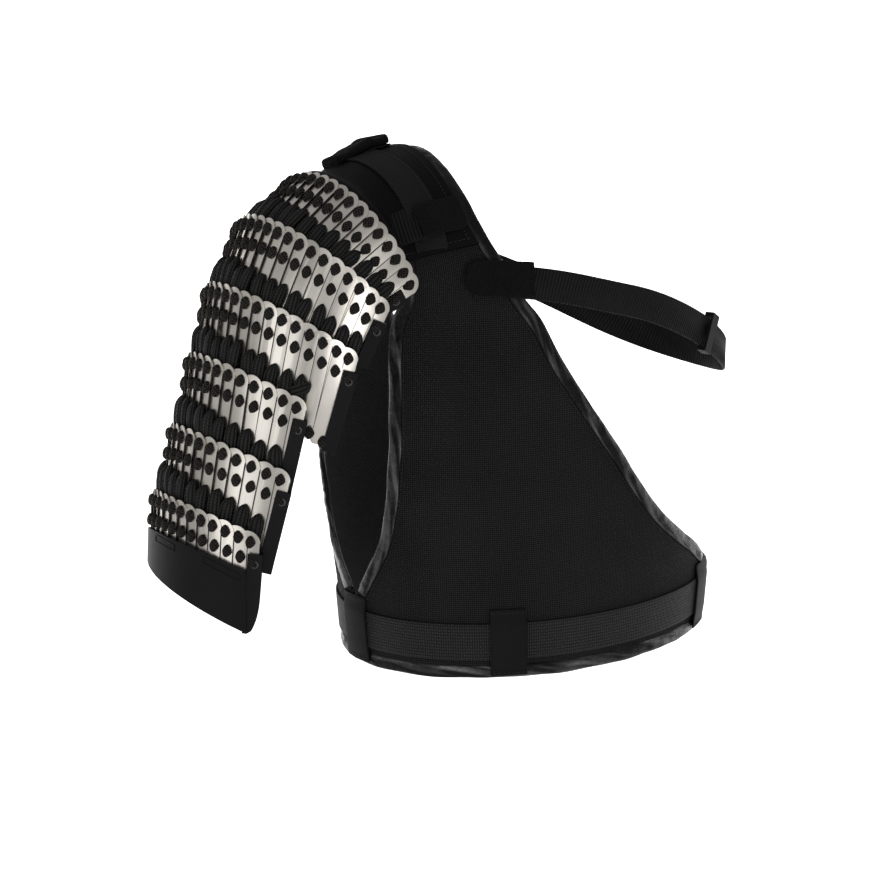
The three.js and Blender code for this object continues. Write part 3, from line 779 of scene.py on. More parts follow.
def rowEdge(k, angle, off=0.0):
    dip, radius = guardRows["lean"][k] * degree, guardRows["radius"][k]
    crestOut = np.array([-math.sin(dip), 0, math.cos(dip)])
    crest = np.array([guardRows[axis][k] for axis in ("crestX", "crestY", "crestZ")])
    centre = crest - crestOut * radius
    angle = np.asarray(angle, float)[..., None]
    out = crestOut * np.cos(angle) + np.array([0, -1.0, 0]) * np.sin(angle)
    return centre + out * (radius + off), out


def rowFrame(k, place):
    # top of a row's edge, directions to the front, up the scale and outward, and the drop to the next row
    middle = (guardRows["scales"][k] - 1) / 2
    angle = (np.asarray(place, float) - middle) * guardRows["pitch"][k] / guardRows["radius"][k]
    top, out = rowEdge(k, angle)
    below, _ = rowEdge(k + 1, angle, -guardRows["layerGap"])
    up = unit(top - below)
    front = unit(np.cross(up, out))
    return {"top": (top - seat) * mm, "front": front, "up": up, "out": np.cross(front, up),
            "drop": np.linalg.norm(top - below, axis=-1)}


def rowPoint(k, place, x, y, z):
    row = rowFrame(k, place)
    x, y, z = (np.asarray(v, float)[..., None] * mm for v in (x, y, z))
    return row["top"] + row["front"] * x + row["up"] * y + row["out"] * z


scaleLook = {"width": 20, "length": 80, "thickness": 1.2, "nick": 2, "bevel": 0.22, "profile": 0.6, "rim": 60,
             "slope": 0.095, "arc": 14, "stretchFrom": -30, "looseness": 0.012, "seed": 7, "endNudge": 0.1}


def makeScaleTemplate():
    # one steel scale, hung from its round top, front edge lifted over its neighbour
    r, length, nick = scaleLook["width"] / 2, scaleLook["length"], scaleLook["nick"]
    turns = np.linspace(0, math.pi, scaleLook["arc"] + 1)
    outline = [(r * math.cos(t), r * math.sin(t) - r) for t in turns]
    outline += [(-r, nick - length), (nick - r, -length), (r - nick, -length), (r, nick - length)]
    made = meshObject("scaleTemplate", [(x * mm, y * mm, 0) for x, y in outline], [range(len(outline))])
    work = bmesh.new()
    work.from_mesh(made.data)
    grown = bmesh.ops.extrude_face_region(work, geom=list(work.faces))["geom"]
    bmesh.ops.translate(work, verts=[v for v in grown if isinstance(v, bmesh.types.BMVert)],
                        vec=(0, 0, scaleLook["thickness"] * mm))
    bmesh.ops.recalc_face_normals(work, faces=work.faces)
    rims = [e for e in work.edges if e.calc_face_angle(0) > scaleLook["rim"] * degree]
    bmesh.ops.bevel(work, geom=rims, offset=scaleLook["bevel"] * mm, segments=2,
                    profile=scaleLook["profile"], affect="EDGES")
    for v in work.verts:
        v.co.z += v.co.x * scaleLook["slope"] - scaleLook["thickness"] * mm / 2
    layer = work.loops.layers.uv.new("UVMap")
    for face in work.faces:
        for corner in face.loops:
            corner[layer].uv = (corner.vert.co.x, corner.vert.co.y)
    work.to_mesh(made.data)
    work.free()
    return made


def scalePlaces(k):
    places = np.arange(float(guardRows["scales"][k]))
    places[[0, -1]] += np.array([1, -1]) * scaleLook["endNudge"]
    return places


def makeScales(k, template):
    for name, some, length, *nodes in (("scaleRow", slice(1, -1), "length", f"scale_row_{k + 1}"),
                                       ("endScales", [0, -1], "endLength")):
        row = rowFrame(k, scalePlaces(k)[some])
        setOnPoints(
            f"{name}{k + 1}", template, row["top"], row, "brushedSteel", "steel", *nodes, sharp=35,
            Extra_Length=(guardRows[length][k] - scaleLook["length"]) * mm,
            Stretch_From=scaleLook["stretchFrom"] * mm,
            Looseness=scaleLook["looseness"], Seed=scaleLook["seed"] + k)


knotLook = {"halfWide": 4.0, "halfTall": 5.3, "rise": 3.4, "sunk": 0.2, "rings": 6, "around": 14,
            "from": -0.35, "to": 0.92 * math.pi / 2, "round": 0.75, "dents": 0.12, "lobes": 0.05,
            "weaveTurn": [[0.82, 0.57], [-0.57, 0.82]], "holes": [(2.2, 8.6), (4.9, 23.5)],
            "looseness": 0.16, "seed": 3, "spare": {2: [(18.8, 0, -76), (20.0, -1, -76)]}}


def makeKnotTemplate():
    # a bulging dome of cord where it comes through a scale
    t = np.linspace(knotLook["from"], knotLook["to"], knotLook["rings"])[:, None]
    around = np.linspace(0, math.tau, knotLook["around"], endpoint=False)
    lumps = 1 - knotLook["dents"] * np.abs(np.sin(2 * around)) + knotLook["lobes"] * np.cos(3 * around)
    spread = np.cos(t) ** knotLook["round"] * lumps
    x, y = knotLook["halfWide"] * spread * np.cos(around), knotLook["halfTall"] * spread * np.sin(around)
    rings = stacked(x, y, knotLook["rise"] * (np.sin(t) + knotLook["sunk"])) * mm
    turned = rings[..., :2] @ np.array(knotLook["weaveTurn"])
    return tube("knotTemplate", rings, np.concatenate([turned, turned[:, :1]], 1), sharp=180)


def makeKnots(k, template):
    tied = [(place, x, -y) for x, y in knotLook["holes"] for place in scalePlaces(k)]
    place, x, y = np.array(tied + knotLook["spare"].get(k, [])).T
    spots = rowPoint(k, place, x, y, x * scaleLook["slope"] + scaleLook["thickness"] / 2)
    setOnPoints(f"lacingKnots{k + 1}", template, spots, rowFrame(k, place), "knotCord", "braided_cord",
                Looseness=knotLook["looseness"], Seed=knotLook["seed"] + k)


wrapLook = {"length": 30, "wide": 10.6, "thick": 6.4, "marks": [0, 0.05, 0.15, 0.3, 0.6, 1],
            "wideShares": [0.12, 0.42, 0.74, 0.95, 1, 0.92], "thickShares": [0.25, 0.55, 0.86, 1, 0.95, 0.6],
            "crowd": 1.5, "lobes": 5, "lobeRise": 0.06, "clear": 0.3, "rings": 10, "around": 20,
            "above": (25, 14), "aboveFrom": 0.35, "hidden": 5, "shift": 3.6, "off": 0.5,
            "looseness": 0.05, "lean": 0.11, "vary": 2.2, "seed": 11,
            "turned": {"row": 2, "place": 17.75, "turn": 58, "lower": 1.5, "tall": 0.55}}


def makeWrapTemplate():
    # one lashing of cord, blunt where it leaves its hole and full where it dives behind the next row
    steps = np.linspace(0, 1, wrapLook["rings"])[:, None] ** wrapLook["crowd"]
    wide = wrapLook["wide"] / 2 * np.interp(steps, wrapLook["marks"], wrapLook["wideShares"])
    thick = wrapLook["thick"] / 2 * np.interp(steps, wrapLook["marks"], wrapLook["thickShares"])
    turns = np.linspace(0, math.tau, wrapLook["around"], endpoint=False)
    lobes = 1 + wrapLook["lobeRise"] * np.cos(wrapLook["lobes"] * turns)
    z = thick * np.sin(turns) * lobes + thick + wrapLook["clear"]
    rings = stacked(wide * np.cos(turns) * lobes, -steps * wrapLook["length"], z) * mm
    uv = stacked(np.linspace(0, 1, wrapLook["around"] + 1)[None], steps * wrapLook["length"] * mm)
    return tube("wrapTemplate", rings, uv, sharp=180)


def makeWraps(k, template):
    bare, last = guardRows["bare"][k], guardRows["scales"][k] - 1
    tied = np.arange(bare, last + 1 - bare, dtype=float)
    turned = wrapLook["turned"]
    if turned["row"] == k:
        tied = np.append(tied, turned["place"])
    row, count = rowFrame(k, tied), len(tied)
    draw = np.random.default_rng(wrapLook["seed"] + k)
    above = np.interp(tied / last, [wrapLook["aboveFrom"], 1], wrapLook["above"])
    above = above + wrapLook["vary"] * draw.uniform(-1, 1, count)
    lean = wrapLook["lean"] * draw.uniform(-1, 1, count)
    shift = wrapLook["shift"]
    spots = rowPoint(k, tied, shift, above - row["drop"], shift * scaleLook["slope"] + wrapLook["off"])
    tall = (above + wrapLook["hidden"]) / wrapLook["length"]
    if turned["row"] == k:
        lean[-1] = turned["turn"] * degree
        spots[-1] -= row["up"][-1] * turned["lower"] * mm
        tall[-1] = turned["tall"]
    row["front"] = row["front"] * np.cos(lean)[:, None] - row["up"] * np.sin(lean)[:, None]
    setOnPoints(f"lacingWraps{k + 1}", template, spots, row, "braidedCord", "braided_cord", f"lacing_{k + 1}",
                sizes=stacked(guardRows["pitch"][k] / guardRows["pitch"][0], tall, 1.0),
                Looseness=wrapLook["looseness"], Seed=wrapLook["seed"] + k)


def makeGuard():
    scale, knot, wrap = makeScaleTemplate(), makeKnotTemplate(), makeWrapTemplate()
    for k in range(lastRow + 1):
        makeScales(k, scale)
        makeKnots(k, knot)
        if k < lastRow:
            makeWraps(k, wrap)
    for template in (scale, knot, wrap):
        dropTemplate(template)


makeGuard()
print("scales, knots and lacing set")


# end strips keep their solids, with rolled edges, but the last pair tapers beside the bottom plate

stripLook = {"reach": 11.5, "wall": 1.5, "gap": 0.3, "bevel": 0.5, "top": 15, "room": 1.8, "roll": 1.1,
             "bottom": {"front": 77.6, "rear": 51}, "taperTall": 28, "taperWide": 7.6, "rows": 36}
eyeletLook = {"radius": 2.5, "bead": 0.9, "flat": 0.6, "drop": 8, "off": 3.4, "around": 16, "sides": 8,
              "uvSize": (0.016, 0.005)}


def stripPlace(k, end):
    edge = scaleLook["width"] / 2 - stripLook["reach"] / 2 + stripLook["wall"] + stripLook["gap"]
    last = guardRows["scales"][k] - 1
    return last + edge / guardRows["pitch"][k] if end > 0 else -edge / guardRows["pitch"][k]


def channelOutline():
    # a channel open towards the scales, with rolled outer corners: across and off, in mm
    fold, room, roll = stripLook["reach"] / 2, stripLook["room"], stripLook["roll"]
    outer, web = room + stripLook["wall"], fold - stripLook["wall"]
    turns = np.linspace(0, math.pi / 2, 4)
    corner = [(fold - roll + roll * math.sin(t), outer - roll + roll * math.cos(t)) for t in turns]
    upper = [(web, room), (-fold, room), (-fold, outer)] + corner
    return np.array(upper + [(x, -off) for x, off in upper[::-1]])


def makeTaperedStrip(name, k, end):
    bottom, tall = stripLook["bottom"][name], stripLook["taperTall"]
    down = np.linspace(stripLook["top"], bottom, stripLook["rows"])
    past = np.clip((down - bottom + tall) / tall, 0, 1)[:, None]
    share = 1 - stripLook["taperWide"] / stripLook["reach"] * (1 - np.sqrt(1 - past**2))
    outline = channelOutline()
    fold = stripLook["reach"] / 2
    across = ((outline[None, :, 0] + fold) * share - fold) * end
    place = np.full(across.shape, stripPlace(k, end))
    rings = rowPoint(k, place, across, -down[:, None], outline[None, :, 1])
    strip = tube(name + "Strip", rings, uvGrid(down * mm, runLength(outline, True) * mm), sharp=45)
    finishPiece(strip, "mouldedBlack", "moulded_plastic", f"{name}_strip_{k + 1}")


def makeEyeletTemplate():
    around, sides = eyeletLook["around"], eyeletLook["sides"]
    turns = np.linspace(0, math.tau, around, endpoint=False)[:, None]
    bead = np.linspace(0, math.tau, sides, endpoint=False)
    reach = eyeletLook["radius"] + eyeletLook["bead"] * np.cos(bead)
    rise = eyeletLook["flat"] * eyeletLook["bead"] * np.sin(bead)
    rings = stacked(reach * np.cos(turns), reach * np.sin(turns), rise) * mm
    long, wide = eyeletLook["uvSize"]
    uv = uvGrid(np.linspace(0, long, around + 1), np.linspace(0, wide, sides + 1))
    return tube("eyeletTemplate", rings, uv, True, 180)


def makeStrips():
    spots, rows = [], []
    for k in range(lastRow + 1):
        for end, name in ((1, "front"), (-1, "rear")):
            if k < lastRow:
                rollEdges(f"{name}_strip_{k + 1}", stripLook["bevel"], 2)
            else:
                makeTaperedStrip(name, k, end)
            place = stripPlace(k, end)
            rows.append(rowFrame(k, place))
            spots.append(rowPoint(k, place, 0, -stripLook["top"] - eyeletLook["drop"], eyeletLook["off"]))
    row = {way: [one[way] for one in rows] for way in ("front", "out")}
    template = makeEyeletTemplate()
    setOnPoints("stripEyelets", template, spots, row, "eyeletGloss", "moulded_plastic")
    dropTemplate(template)


makeStrips()


# bottom plate: one smooth curved plate that sweeps up to the back, with raised beads that mark two slots

plateLook = {"top": 31, "back": 50, "front": 77.8, "sweep": 1.75, "flare": 0.37, "off": 1.6, "thickness": 3,
             "corner": (8, 0.6), "columns": 110, "rows": 16, "bevel": 0.9}
slotLook = {"spans": [(5.4, 8.0), (10.7, 13.6)], "top": 36, "tall": 5, "fall": 0.5, "square": 1.35,
            "bead": 0.55, "beadWide": 2.2, "sunk": 0.1, "steps": 48}


def makeBottomPlate():
    inset = (scaleLook["width"] / 2 + stripLook["wall"] - stripLook["reach"] - stripLook["gap"]) / lastPitch
    low, high = -inset, guardRows["scales"][lastRow] - 1 + inset
    share = np.linspace(0, 1, plateLook["columns"])
    places = low + (high - low) * share
    nip = np.zeros_like(places)
    for r, fromEnd in zip(plateLook["corner"], ((places - low) * lastPitch, (high - places) * lastPitch)):
        nip += np.where(fromEnd < r, r - np.sqrt(np.maximum(0, r**2 - (r - fromEnd) ** 2)), 0)
    rise = (plateLook["front"] - plateLook["back"]) * (1 - share) ** plateLook["sweep"]
    bottom = plateLook["front"] - rise - nip
    down = np.linspace(0, 1, plateLook["rows"])
    y = -(plateLook["top"] + (bottom - plateLook["top"])[:, None] * down[None])
    grid = places[:, None] + share[:, None] * down[None] * plateLook["flare"]
    inner, outer = (rowPoint(lastRow, grid, 0, y, plateLook["off"] + t) for t in (0, plateLook["thickness"]))
    plate = shellTube("bottomPlate", outer, inner, stacked(grid * lastPitch * mm, y * mm))
    addBevel(plate, plateLook["bevel"], 3, 50)
    finishPiece(plate, "mouldedBlack", "moulded_plastic", "bottom_plate")


def makeSlotRim(name, low, high):
    # a raised bead round a slot in the bottom plate
    half, tall = (high - low) * lastPitch / 2, slotLook["tall"] / 2
    turns = np.linspace(0, math.tau, slotLook["steps"], endpoint=False)
    x = np.clip(np.cos(turns) * half * slotLook["square"], -half, half)
    y = np.clip(np.sin(turns) * tall * slotLook["square"], -tall, tall)
    off = plateLook["off"] + plateLook["thickness"]
    place = (low + high) / 2 + x / lastPitch
    drop = -slotLook["top"] - (place - low) * slotLook["fall"] + y
    points = rowPoint(lastRow, place, 0, drop, off - slotLook["sunk"])
    ups = unit(rowPoint(lastRow, place, 0, drop, off + 1) - points)
    rim = strapTube(name, points, ups, slotLook["beadWide"] * slotLook["bead"], slotLook["bead"], True)
    finishPiece(rim, "mouldedBlack", "moulded_plastic")


makeBottomPlate()
for number, span in enumerate(slotLook["spans"], 1):
    makeSlotRim(f"slotRim{number}", *span)
print("strips and bottom plate set")


# vest panels

panelLook = {"rowStep": 4.5, "columns": 76, "cloth": 2.2, "inside": 0.6, "fold": 0.9, "foldScale": 17.0,
             "foldTall": 0.45, "ripple": 0.35, "rippleScale": 48.0, "calm": 0.07, "calmStart": 0.4,
             "hemCalm": -366, "hemRun": 30, "chestAngle": -30}


def chestRun(places):
    return runLength(bodyPoint(sectionAt(places), panelLook["chestAngle"], 0))


def spacedPlaces(low, high, step):
    coarse = np.linspace(low, high, 600)
    run = chestRun(coarse) / mm
    return np.interp(np.linspace(0, run[-1], int(run[-1] / step) + 1), run, coarse)


def arcRun(section, angles):
    # length round a section from the middle of the chest, in metres
    t = np.linspace(0, 1, 25)[:, None, None] * angles * degree
    speed = np.hypot(section["halfWidth"] * np.cos(t), section["depth"] * np.sin(t))
    return speed.mean(0) * angles * degree * mm


def makePanel(name, side, seed):
    places = spacedPlaces(0, crestPlace, panelLook["rowStep"])
    section = asColumns(sectionAt(places))
    share = np.linspace(0, 1, panelLook["columns"])[None]
    angles = section["armhole"] + (section["inner"] - section["armhole"]) * share
    flat = bodyPoint(section, angles, 0, side)
    calm = ease(np.minimum(share, 1 - share) / panelLook["calm"] - panelLook["calmStart"])
    calm = calm * ease((section["z"] - panelLook["hemCalm"]) / panelLook["hemRun"])
    wave = panelLook["fold"] * noiseAt(flat * (1, 1, panelLook["foldTall"]), panelLook["foldScale"], seed)
    wave += panelLook["ripple"] * noiseAt(flat, panelLook["rippleScale"], seed + 5)
    wave = wave * calm
    outer = bodyPoint(section, angles, panelLook["cloth"] + wave, side)
    inner = bodyPoint(section, angles, np.minimum(wave, panelLook["inside"]), side)
    uv = stacked(arcRun(section, angles), chestRun(places)[:, None])
    panel = shellTube(name + "Panel", outer, inner, uv)
    finishPiece(panel, "wovenNylon", "woven_nylon", name + "_panel")


makePanel("front", 1, 2.0)
makePanel("back", -1, 9.0)
print("vest panels set")


# satin bindings folded over the panel edges

bindingLook = {
    "outline": [(9.7, 2.15), (9.5, 2.75), (8.2, 3.1), (6.2, 3.45), (4.0, 3.65), (2.0, 3.6), (0.4, 3.2),
                (-0.8, 2.4), (-1.3, 1.2), (-0.9, 0.0), (0.4, -0.7), (3.0, -0.95), (6.0, -0.85), (8.3, -0.5),
                (8.5, 0.9)],
    "from": 2.0, "step": 1.5, "even": 0.02, "hemSteps": 150, "wander": 0.9, "wanderRun": 0.025,
    "pucker": 1.15, "creaseRun": 0.011, "creaseWide": 6.5, "faceAt": 1, "faceShift": 3.0, "liftAt": 1.2,
    "creaseBase": 0.5, "creaseCut": 1.1, "fineCrease": (1.7, 0.7, 1),
    # where puckers start, how soon they are full, and the least
    "roll": (-1.3, 5, 0.25), "sewn": (9.8, 3.5, 0.15),
}


def makeBinding(name, line, seed, *nodes):
    look, outline = bindingLook, np.array(bindingLook["outline"])
    points, inward, ups = line
    run, (a, n) = runLength(points)[:, None], outline.T[:, None]
    inward = unit(inward - ups * (inward * ups).sum(-1, keepdims=True))
    face = np.sign(n - look["faceAt"]) * look["faceShift"] + seed
    spot = stacked(run / look["creaseRun"], a / look["creaseWide"], face)
    fine = np.abs(noiseAt(spot * look["fineCrease"], 1.0, seed + 4))
    crease = noiseAt(spot, 1.0, seed) + look["creaseBase"] - look["creaseCut"] * fine
    (roll, rollRun, rollLeast), (sewn, sewnRun, sewnLeast) = look["roll"], look["sewn"]
    loose = np.clip((a - roll) / rollRun, rollLeast, 1) * np.clip((sewn - a) / sewnRun, sewnLeast, 1)
    lift = n + np.sign(n - look["liftAt"]) * look["pucker"] * crease * loose
    sway = a + look["wander"] * noiseAt(stacked(run / look["wanderRun"], 0.0, 0.0), 1.0, seed + 8)
    rings = points[:, None] + (inward[:, None] * sway[..., None] + ups[:, None] * lift[..., None]) * mm
    binding = tube(name, rings, uvGrid(run[:, 0], runLength(outline, True) * mm), sharp=75)
    finishPiece(binding, "satinBinding", "satin_binding", *nodes)


def edgeLine(edge, inwardSign):
    # up the chest along one edge of the front panel and down the back, with inward and outward directions
    places = spacedPlaces(bindingLook["from"], crestPlace, bindingLook["step"])
    parts = []
    for side, order in ((1, slice(None)), (-1, slice(-2, None, -1))):
        section = sectionAt(places[order])
        points, ups = bodyLine(section, section[edge], 0, side)
        parts.append((points, bodyPoint(section, section[edge] + inwardSign, 0, side) - points, ups))
    points, inward, ups = (np.concatenate(group) for group in zip(*parts))
    points, inward = smoothed(points, bindingLook["even"]), unit(inward)
    course = courseOf(points)
    return points, inward - course * (inward * course).sum(-1, keepdims=True), ups


def hemLine():
    section = sectionAt(0.0)
    angles = np.linspace(float(section["inner"]), float(section["armhole"]), bindingLook["hemSteps"])
    parts = [bodyLine(section, angles[order], 0, side)
             for side, order in ((-1, slice(None)), (1, slice(-2, None, -1)))]
    points, ups = (np.concatenate(group) for group in zip(*parts))
    return points, np.broadcast_to(np.array([0, 0, 1.0]), points.shape), ups


edgeLines = {"armhole": edgeLine("armhole", 1), "edge": edgeLine("inner", -1), "hem": hemLine()}
for (edge, line), seed in zip(edgeLines.items(), (1.0, 4.0, 6.0)):
    makeBinding(edge + "Binding", line, seed, f"front_{edge}_binding", f"back_{edge}_binding")
print("bindings set")


# belt, loops and buckle

beltLook = {"z": -388, "width": 31, "thickness": 1.6, "off": 2.7, "steps": 260, "columns": 9,
            "buckleBevel": 0.8}
loopLook = {"width": 29, "thickness": 1.4, "steps": 44, "columns": 15, "blur": 7,
            "profile": [(-361, 2.7), (-367, 2.75), (-371.5, 4.9), (-404.5, 4.9), (-409, 4.2), (-416, 4.25)],
            "loops": {"belt_loop_side": (-90, 1), "belt_loop_front": (-33.5, 1), "belt_loop_left": (44, 1),
                      "belt_loop_back": (-33.5, -1), "belt_loop_back_left": (44, -1)}}


def camelName(node):
    first, *words = node.split("_")
    return first + "".join(word.capitalize() for word in words)


def makeBelt():
    outline, around = strapOutline(beltLook["width"], beltLook["thickness"], beltLook["columns"])
    low, high = (sectionWhere("z", beltLook["z"] + end * beltLook["width"] / 2) for end in (-1, 1))
    angles = np.linspace(-180, 180, beltLook["steps"], endpoint=False)[:, None]
    off = beltLook["off"] + outline[None, :, 1]
    share = (outline[None, :, 0] / beltLook["width"] + 0.5)[..., None]
    rings = bodyPoint(low, angles, off) * (1 - share) + bodyPoint(high, angles, off) * share
    belt = tube("belt", rings, uvGrid(runLength(rings[:, 0], True), around * mm), True)
    finishPiece(belt, "beltWebbing", "webbing", "belt")


def makeLoop(node, angle, side):
    # a band sewn above and below the belt that bridges it
    z0, off0 = np.array(loopLook["profile"]).T
    z = np.linspace(z0[0], z0[-1], loopLook["steps"])
    blur = loopLook["blur"]
    off = np.pad(np.interp(z, z0[::-1], off0[::-1]), blur // 2, mode="edge")
    off = np.convolve(off, np.ones(blur) / blur, mode="valid")[:, None]
    section = asColumns(sectionWhere("z", z))
    speed = np.hypot(section["halfWidth"] * np.cos(angle * degree), section["depth"] * np.sin(angle * degree))
    outline, around = strapOutline(loopLook["width"], loopLook["thickness"], loopLook["columns"])
    angles = angle + outline[None, :, 0] / speed / degree
    rings = bodyPoint(section, angles, off + outline[None, :, 1], side)
    loop = tube(camelName(node), rings, uvGrid(runLength(rings[:, 0]), around * mm))
    finishPiece(loop, "loopBand", "webbing", node)


makeBelt()
for node, (angle, side) in loopLook["loops"].items():
    makeLoop(node, angle, side)
rollEdges("belt_buckle", beltLook["buckleBevel"], 3)
print("belt and loops set")


# chest strap, its tab and slider

strapLook = {"width": 25, "thickness": 1.8, "even": 0.06, "ribPitch": 2.8, "ribHeight": 0.16,
             "ringsPerRib": 4, "sliderBevel": 0.7,
             "path": {"place": [6.57, 6.54, 6.5, 6.36, 5.84, 5.4, 5.08, 4.53, 4.25, 4.2],
                      "angle": [-35, -30.5, -26, -12, 3.5, 14, 25, 47, 72, 90],
                      "off": [3, 4.5, 5.1, 4.4, 3, 2, 1, 1, 1, 1]}}
chestTabLook = {"width": 28, "thickness": 2.2, "off": 7.6, "steps": 60, "lumps": (0.7, 70.0, 6.0),
                "path": {"place": [6.6, 6.59, 6.58, 6.51, 6.5], "angle": [-36.5, -35, -33, -24, -22],
                         "share": [0.55, 0.9, 1, 1, 0.96]}}


def alongPath(path, share):
    at = share * (len(path["place"]) - 1)
    return [column(values, at) for values in path.values()]


def chestStrapLine(turns):
    # along the strap's path, and past one turn back along it mirrored on the back
    place, angle, off = alongPath(strapLook["path"], 1 - np.abs(turns - 1))
    return bodyLine(sectionAt(place), angle, off, np.where(turns <= 1, 1, -1))


def makeChestStrap():
    coarse = np.linspace(0, 2, 1200)
    run = runLength(chestStrapLine(coarse)[0]) / mm
    count = int(run[-1] / strapLook["ribPitch"]) * strapLook["ringsPerRib"]
    points, ups = chestStrapLine(np.interp(np.linspace(0, run[-1], count), run, coarse))
    ripple = strapLook["ribHeight"] * np.cos(np.arange(count) * math.tau / strapLook["ringsPerRib"])
    strap = strapTube("chestStrap", smoothed(points, strapLook["even"]), ups, strapLook["width"],
                      strapLook["thickness"], ripple=ripple, sharp=180)
    finishPiece(strap, "elasticWebbing", "webbing", "chest_strap")


def makeChestTab():
    place, angle, share = alongPath(chestTabLook["path"], np.linspace(0, 1, chestTabLook["steps"]))
    line = bodyLine(sectionAt(place), angle, chestTabLook["off"])
    tab = strapTube("chestStrapTab", *line, chestTabLook["width"], chestTabLook["thickness"],
                    share=share, lumps=chestTabLook["lumps"])
    finishPiece(tab, "hookFuzz", "hook_and_loop", "chest_strap_tab")


makeChestStrap()
makeChestTab()
rollEdges("strap_slider", strapLook["sliderBevel"], 3)
print("chest strap set")


# shoulder flap, loop tape and tabs

flapLook = {"reach": 62, "rowReach": 66, "off": 4.9, "inset": 10, "thickness": 1.8, "rows": 90, "columns": 40,
            "under": 3.2, "tucks": (2, -14), "bevel": 0.7, "alongAt": 8, "acrossAt": 45, "seamOff": 0.15}
tapeLook = {"neckX": -140, "armX": -165, "frontTilt": 29.5, "backTilt": 128, "off": 6.9, "thickness": 1.1,
            "rows": 90, "seamInset": 2, "seamOff": 0.1}
tabLook = {"width": 27, "off": 7.9, "sag": 1.4, "sagRun": 9, "rings": 60, "backing": 1.1, "backingOut": 1,
           "droopX": -128, "droopRun": 46, "lumpScale": 75.0, "lumpSeed": 3.0,
           "shareAt": [0, 0.02, 0.06, 0.94, 0.98, 1], "shares": [0.8, 0.93, 1, 1, 0.97, 0.9],
           "tabs": {"front_tab": {"tilt": 42, "neckX": -124, "armX": -158, "webX": -176, "droop": 0,
                                  "margin": 1.6, "thickness": 3.0, "lump": 0.7},
                    "rear_tab": {"tilt": 104, "neckX": -121, "armX": -171, "webX": -169.5, "droop": 3.2,
                                 "margin": 9, "thickness": 8, "lump": 2.4}}}
seamLines = []


def throughPoints(points, count):
    # a smooth row of points through a few rows of control points
    last = len(points) - 1
    t = np.linspace(0, last, count)
    i = np.clip(np.floor(t).astype(int), 0, last - 1)
    f = (t - i)[:, None, None]
    a, b, c, d = (points[np.clip(i + k, 0, last)] for k in (-1, 0, 1, 2))
    return b + f * ((c - a) / 2 + f * (a - 2.5 * b + 2 * c - d / 2 + f * (1.5 * (b - c) + (d - a) / 2)))


def seamOn(points, across):
    # a seam on the flap, with the upward direction from its course and a direction across it
    ups = unit(np.cross(courseOf(points), across))
    ups = ups * np.sign(ups[len(ups) // 2, 2])
    return points + ups * flapLook["seamOff"] * mm, ups


def flapFace(lift):
    share = np.linspace(-1, 1, flapLook["rows"])
    section = sectionAtTilt(90 - share * flapLook["reach"])
    neckX = section["halfWidth"] * np.sin(section["inner"] * degree) - flapLook["inset"]
    armX = section["halfWidth"] * np.sin(section["armhole"] * degree)
    middle = (guardRows["scales"][0] - 1) / 2
    place = middle + share * flapLook["rowReach"] * degree * guardRows["radius"][0] / guardRows["pitch"][0]
    rows = [bodyPoint(section, angleOfX(section, neckX + (armX - neckX) * t), flapLook["off"] + lift)
            for t in (0, 1 / 3, 2 / 3, 1)]
    rows += [rowPoint(0, place, 0, y, lift - flapLook["under"]) for y in flapLook["tucks"]]
    return np.swapaxes(throughPoints(np.array(rows), flapLook["columns"]), 0, 1)


def makeFlap():
    top, low = flapFace(flapLook["thickness"]), flapFace(0)
    along, across = runLength(top[:, flapLook["alongAt"]]), runLength(top[flapLook["acrossAt"]])
    flap = shellTube("shoulderFlap", top, low, uvGrid(along, across))
    addBevel(flap, flapLook["bevel"], 2, 50)
    finishPiece(flap, "flapCloth", "flap_cloth", "shoulder_flap")
    neckSide, frontEnd = top[2:-2], top[:, 3:-6]
    seamLines.append(seamOn(neckSide[:, 3], neckSide[:, 4] - neckSide[:, 2]))
    seamLines.append(seamOn(frontEnd[-3], frontEnd[-1] - frontEnd[-5]))


def makeTape():
    section = sectionAtTilt(np.linspace(tapeLook["frontTilt"], tapeLook["backTilt"], tapeLook["rows"]))
    middle, half = (tapeLook["neckX"] + tapeLook["armX"]) / 2, (tapeLook["neckX"] - tapeLook["armX"]) / 2
    points, ups = bodyLine(section, angleOfX(section, middle), tapeLook["off"])
    tape = strapTube("loopTape", points, ups, 2 * half, tapeLook["thickness"])
    across = unit(np.cross(courseOf(points), ups)) * (half - tapeLook["seamInset"])
    lift = ups * (tapeLook["thickness"] + tapeLook["seamOff"])
    for side in (-1, 1):
        seamLines.append((points + (across * side + lift) * mm, ups))
    finishPiece(tape, "tapeWeave", "hook_and_loop", "loop_tape")


def tabLine(look, neckX, armX, lift):
    # across the shoulder, resting on the loop tape and sagging to the flap on both sides of it
    x = np.linspace(neckX, armX, tabLook["rings"])
    section = sectionAtTilt(np.full_like(x, look["tilt"]))
    past = np.maximum(x - tapeLook["neckX"], tapeLook["armX"] - x)
    off = tabLook["off"] + lift - tabLook["sag"] * ease(past / tabLook["sagRun"])
    off -= look["droop"] * ease((tabLook["droopX"] - x) / tabLook["droopRun"])
    return bodyLine(section, angleOfX(section, x), off)


def makeTab(node, look, seed):
    name, width = camelName(node), tabLook["width"]
    share = np.interp(np.linspace(0, 1, tabLook["rings"]), tabLook["shareAt"], tabLook["shares"])
    tuck = 1 - (1 - share) * look["margin"] / 2
    line = tabLine(look, look["neckX"] - tabLook["backingOut"], look["webX"], 0)
    backing = strapTube(name + "Backing", *line, width + look["margin"], tabLook["backing"], share=tuck)
    finishPiece(backing, "elasticWebbing", "webbing")
    line = tabLine(look, look["neckX"], look["armX"], tabLook["backing"])
    lumps = (look["lump"], tabLook["lumpScale"], seed)
    tab = strapTube(name, *line, width, look["thickness"], share=share, lumps=lumps)
    finishPiece(tab, "hookFuzz", "hook_and_loop", node)


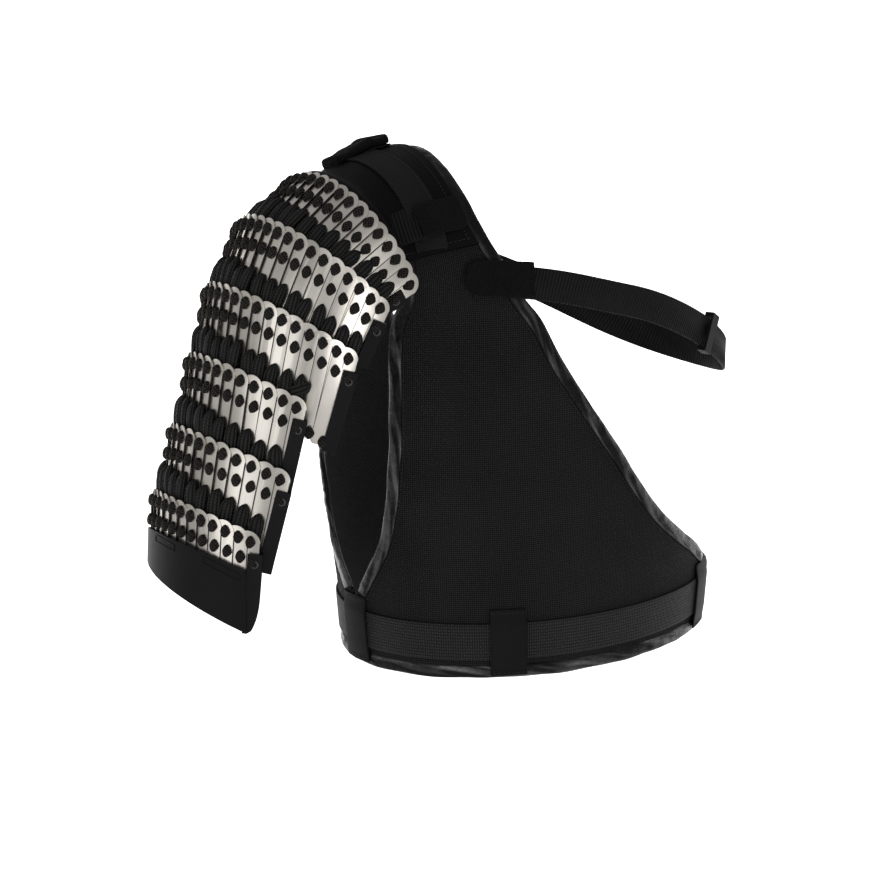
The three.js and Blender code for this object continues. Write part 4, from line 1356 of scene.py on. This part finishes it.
makeFlap()
makeTape()
for number, (node, look) in enumerate(tabLook["tabs"].items()):
    makeTab(node, look, tabLook["lumpSeed"] + number)
print("flap, tape and tabs set")


# stitching along the seams

stitchLook = {"pitch": 3.4, "long": 2.5, "wide": 0.55, "rise": 0.35, "sides": 6, "looseness": 0.06, "seed": 5,
              "marks": [-0.5, -0.38, 0, 0.38, 0.5], "shares": [0.35, 0.85, 1, 0.85, 0.35], "uvWide": 0.0016,
              "insets": {"armhole": 11.4, "edge": 11.4, "hem": 11.6}, "off": 2.4,
              "loopRows": [(-363.5, 4.35), (-414, 5.8)], "loopReach": 4.2, "loopSteps": 12}


def makeStitchTemplate():
    turns = np.linspace(0, math.tau, stitchLook["sides"], endpoint=False)
    x = np.array(stitchLook["marks"]) * stitchLook["long"]
    size = np.array(stitchLook["shares"])[:, None]
    rings = stacked(x[:, None], size * np.cos(turns) * stitchLook["wide"] / 2,
                    size * np.sin(turns) * stitchLook["rise"]) * mm
    uv = uvGrid(x * mm, np.linspace(0, stitchLook["uvWide"], stitchLook["sides"] + 1))
    return tube("stitchTemplate", rings, uv, sharp=180)


def makeStitching():
    lines = []
    for edge, (points, inward, ups) in edgeLines.items():
        shift = unit(inward) * stitchLook["insets"][edge] + ups * stitchLook["off"]
        lines.append((points + shift * mm, ups))
    spread = np.linspace(-stitchLook["loopReach"], stitchLook["loopReach"], stitchLook["loopSteps"])
    for angle, side in loopLook["loops"].values():
        for z, off in stitchLook["loopRows"]:
            lines.append(bodyLine(sectionWhere("z", z), angle + spread, off, side))
    verts, edges, ups = [], [], []
    for points, outward in lines + seamLines:
        first = len(verts)
        verts += list(points)
        ups += list(outward)
        edges += [(first + i, first + i + 1) for i in range(len(points) - 1)]
    made = meshObject("stitching", verts, [], edges=edges)
    vectorAttribute(made.data, "outward", ups)
    template = makeStitchTemplate()
    runTree(made, stitchTree, template, "thread", 180, Pitch=stitchLook["pitch"] * mm,
            Looseness=stitchLook["looseness"], Seed=stitchLook["seed"])
    finishPiece(made, "thread", "webbing")
    dropTemplate(template)


makeStitching()
print("stitching set")
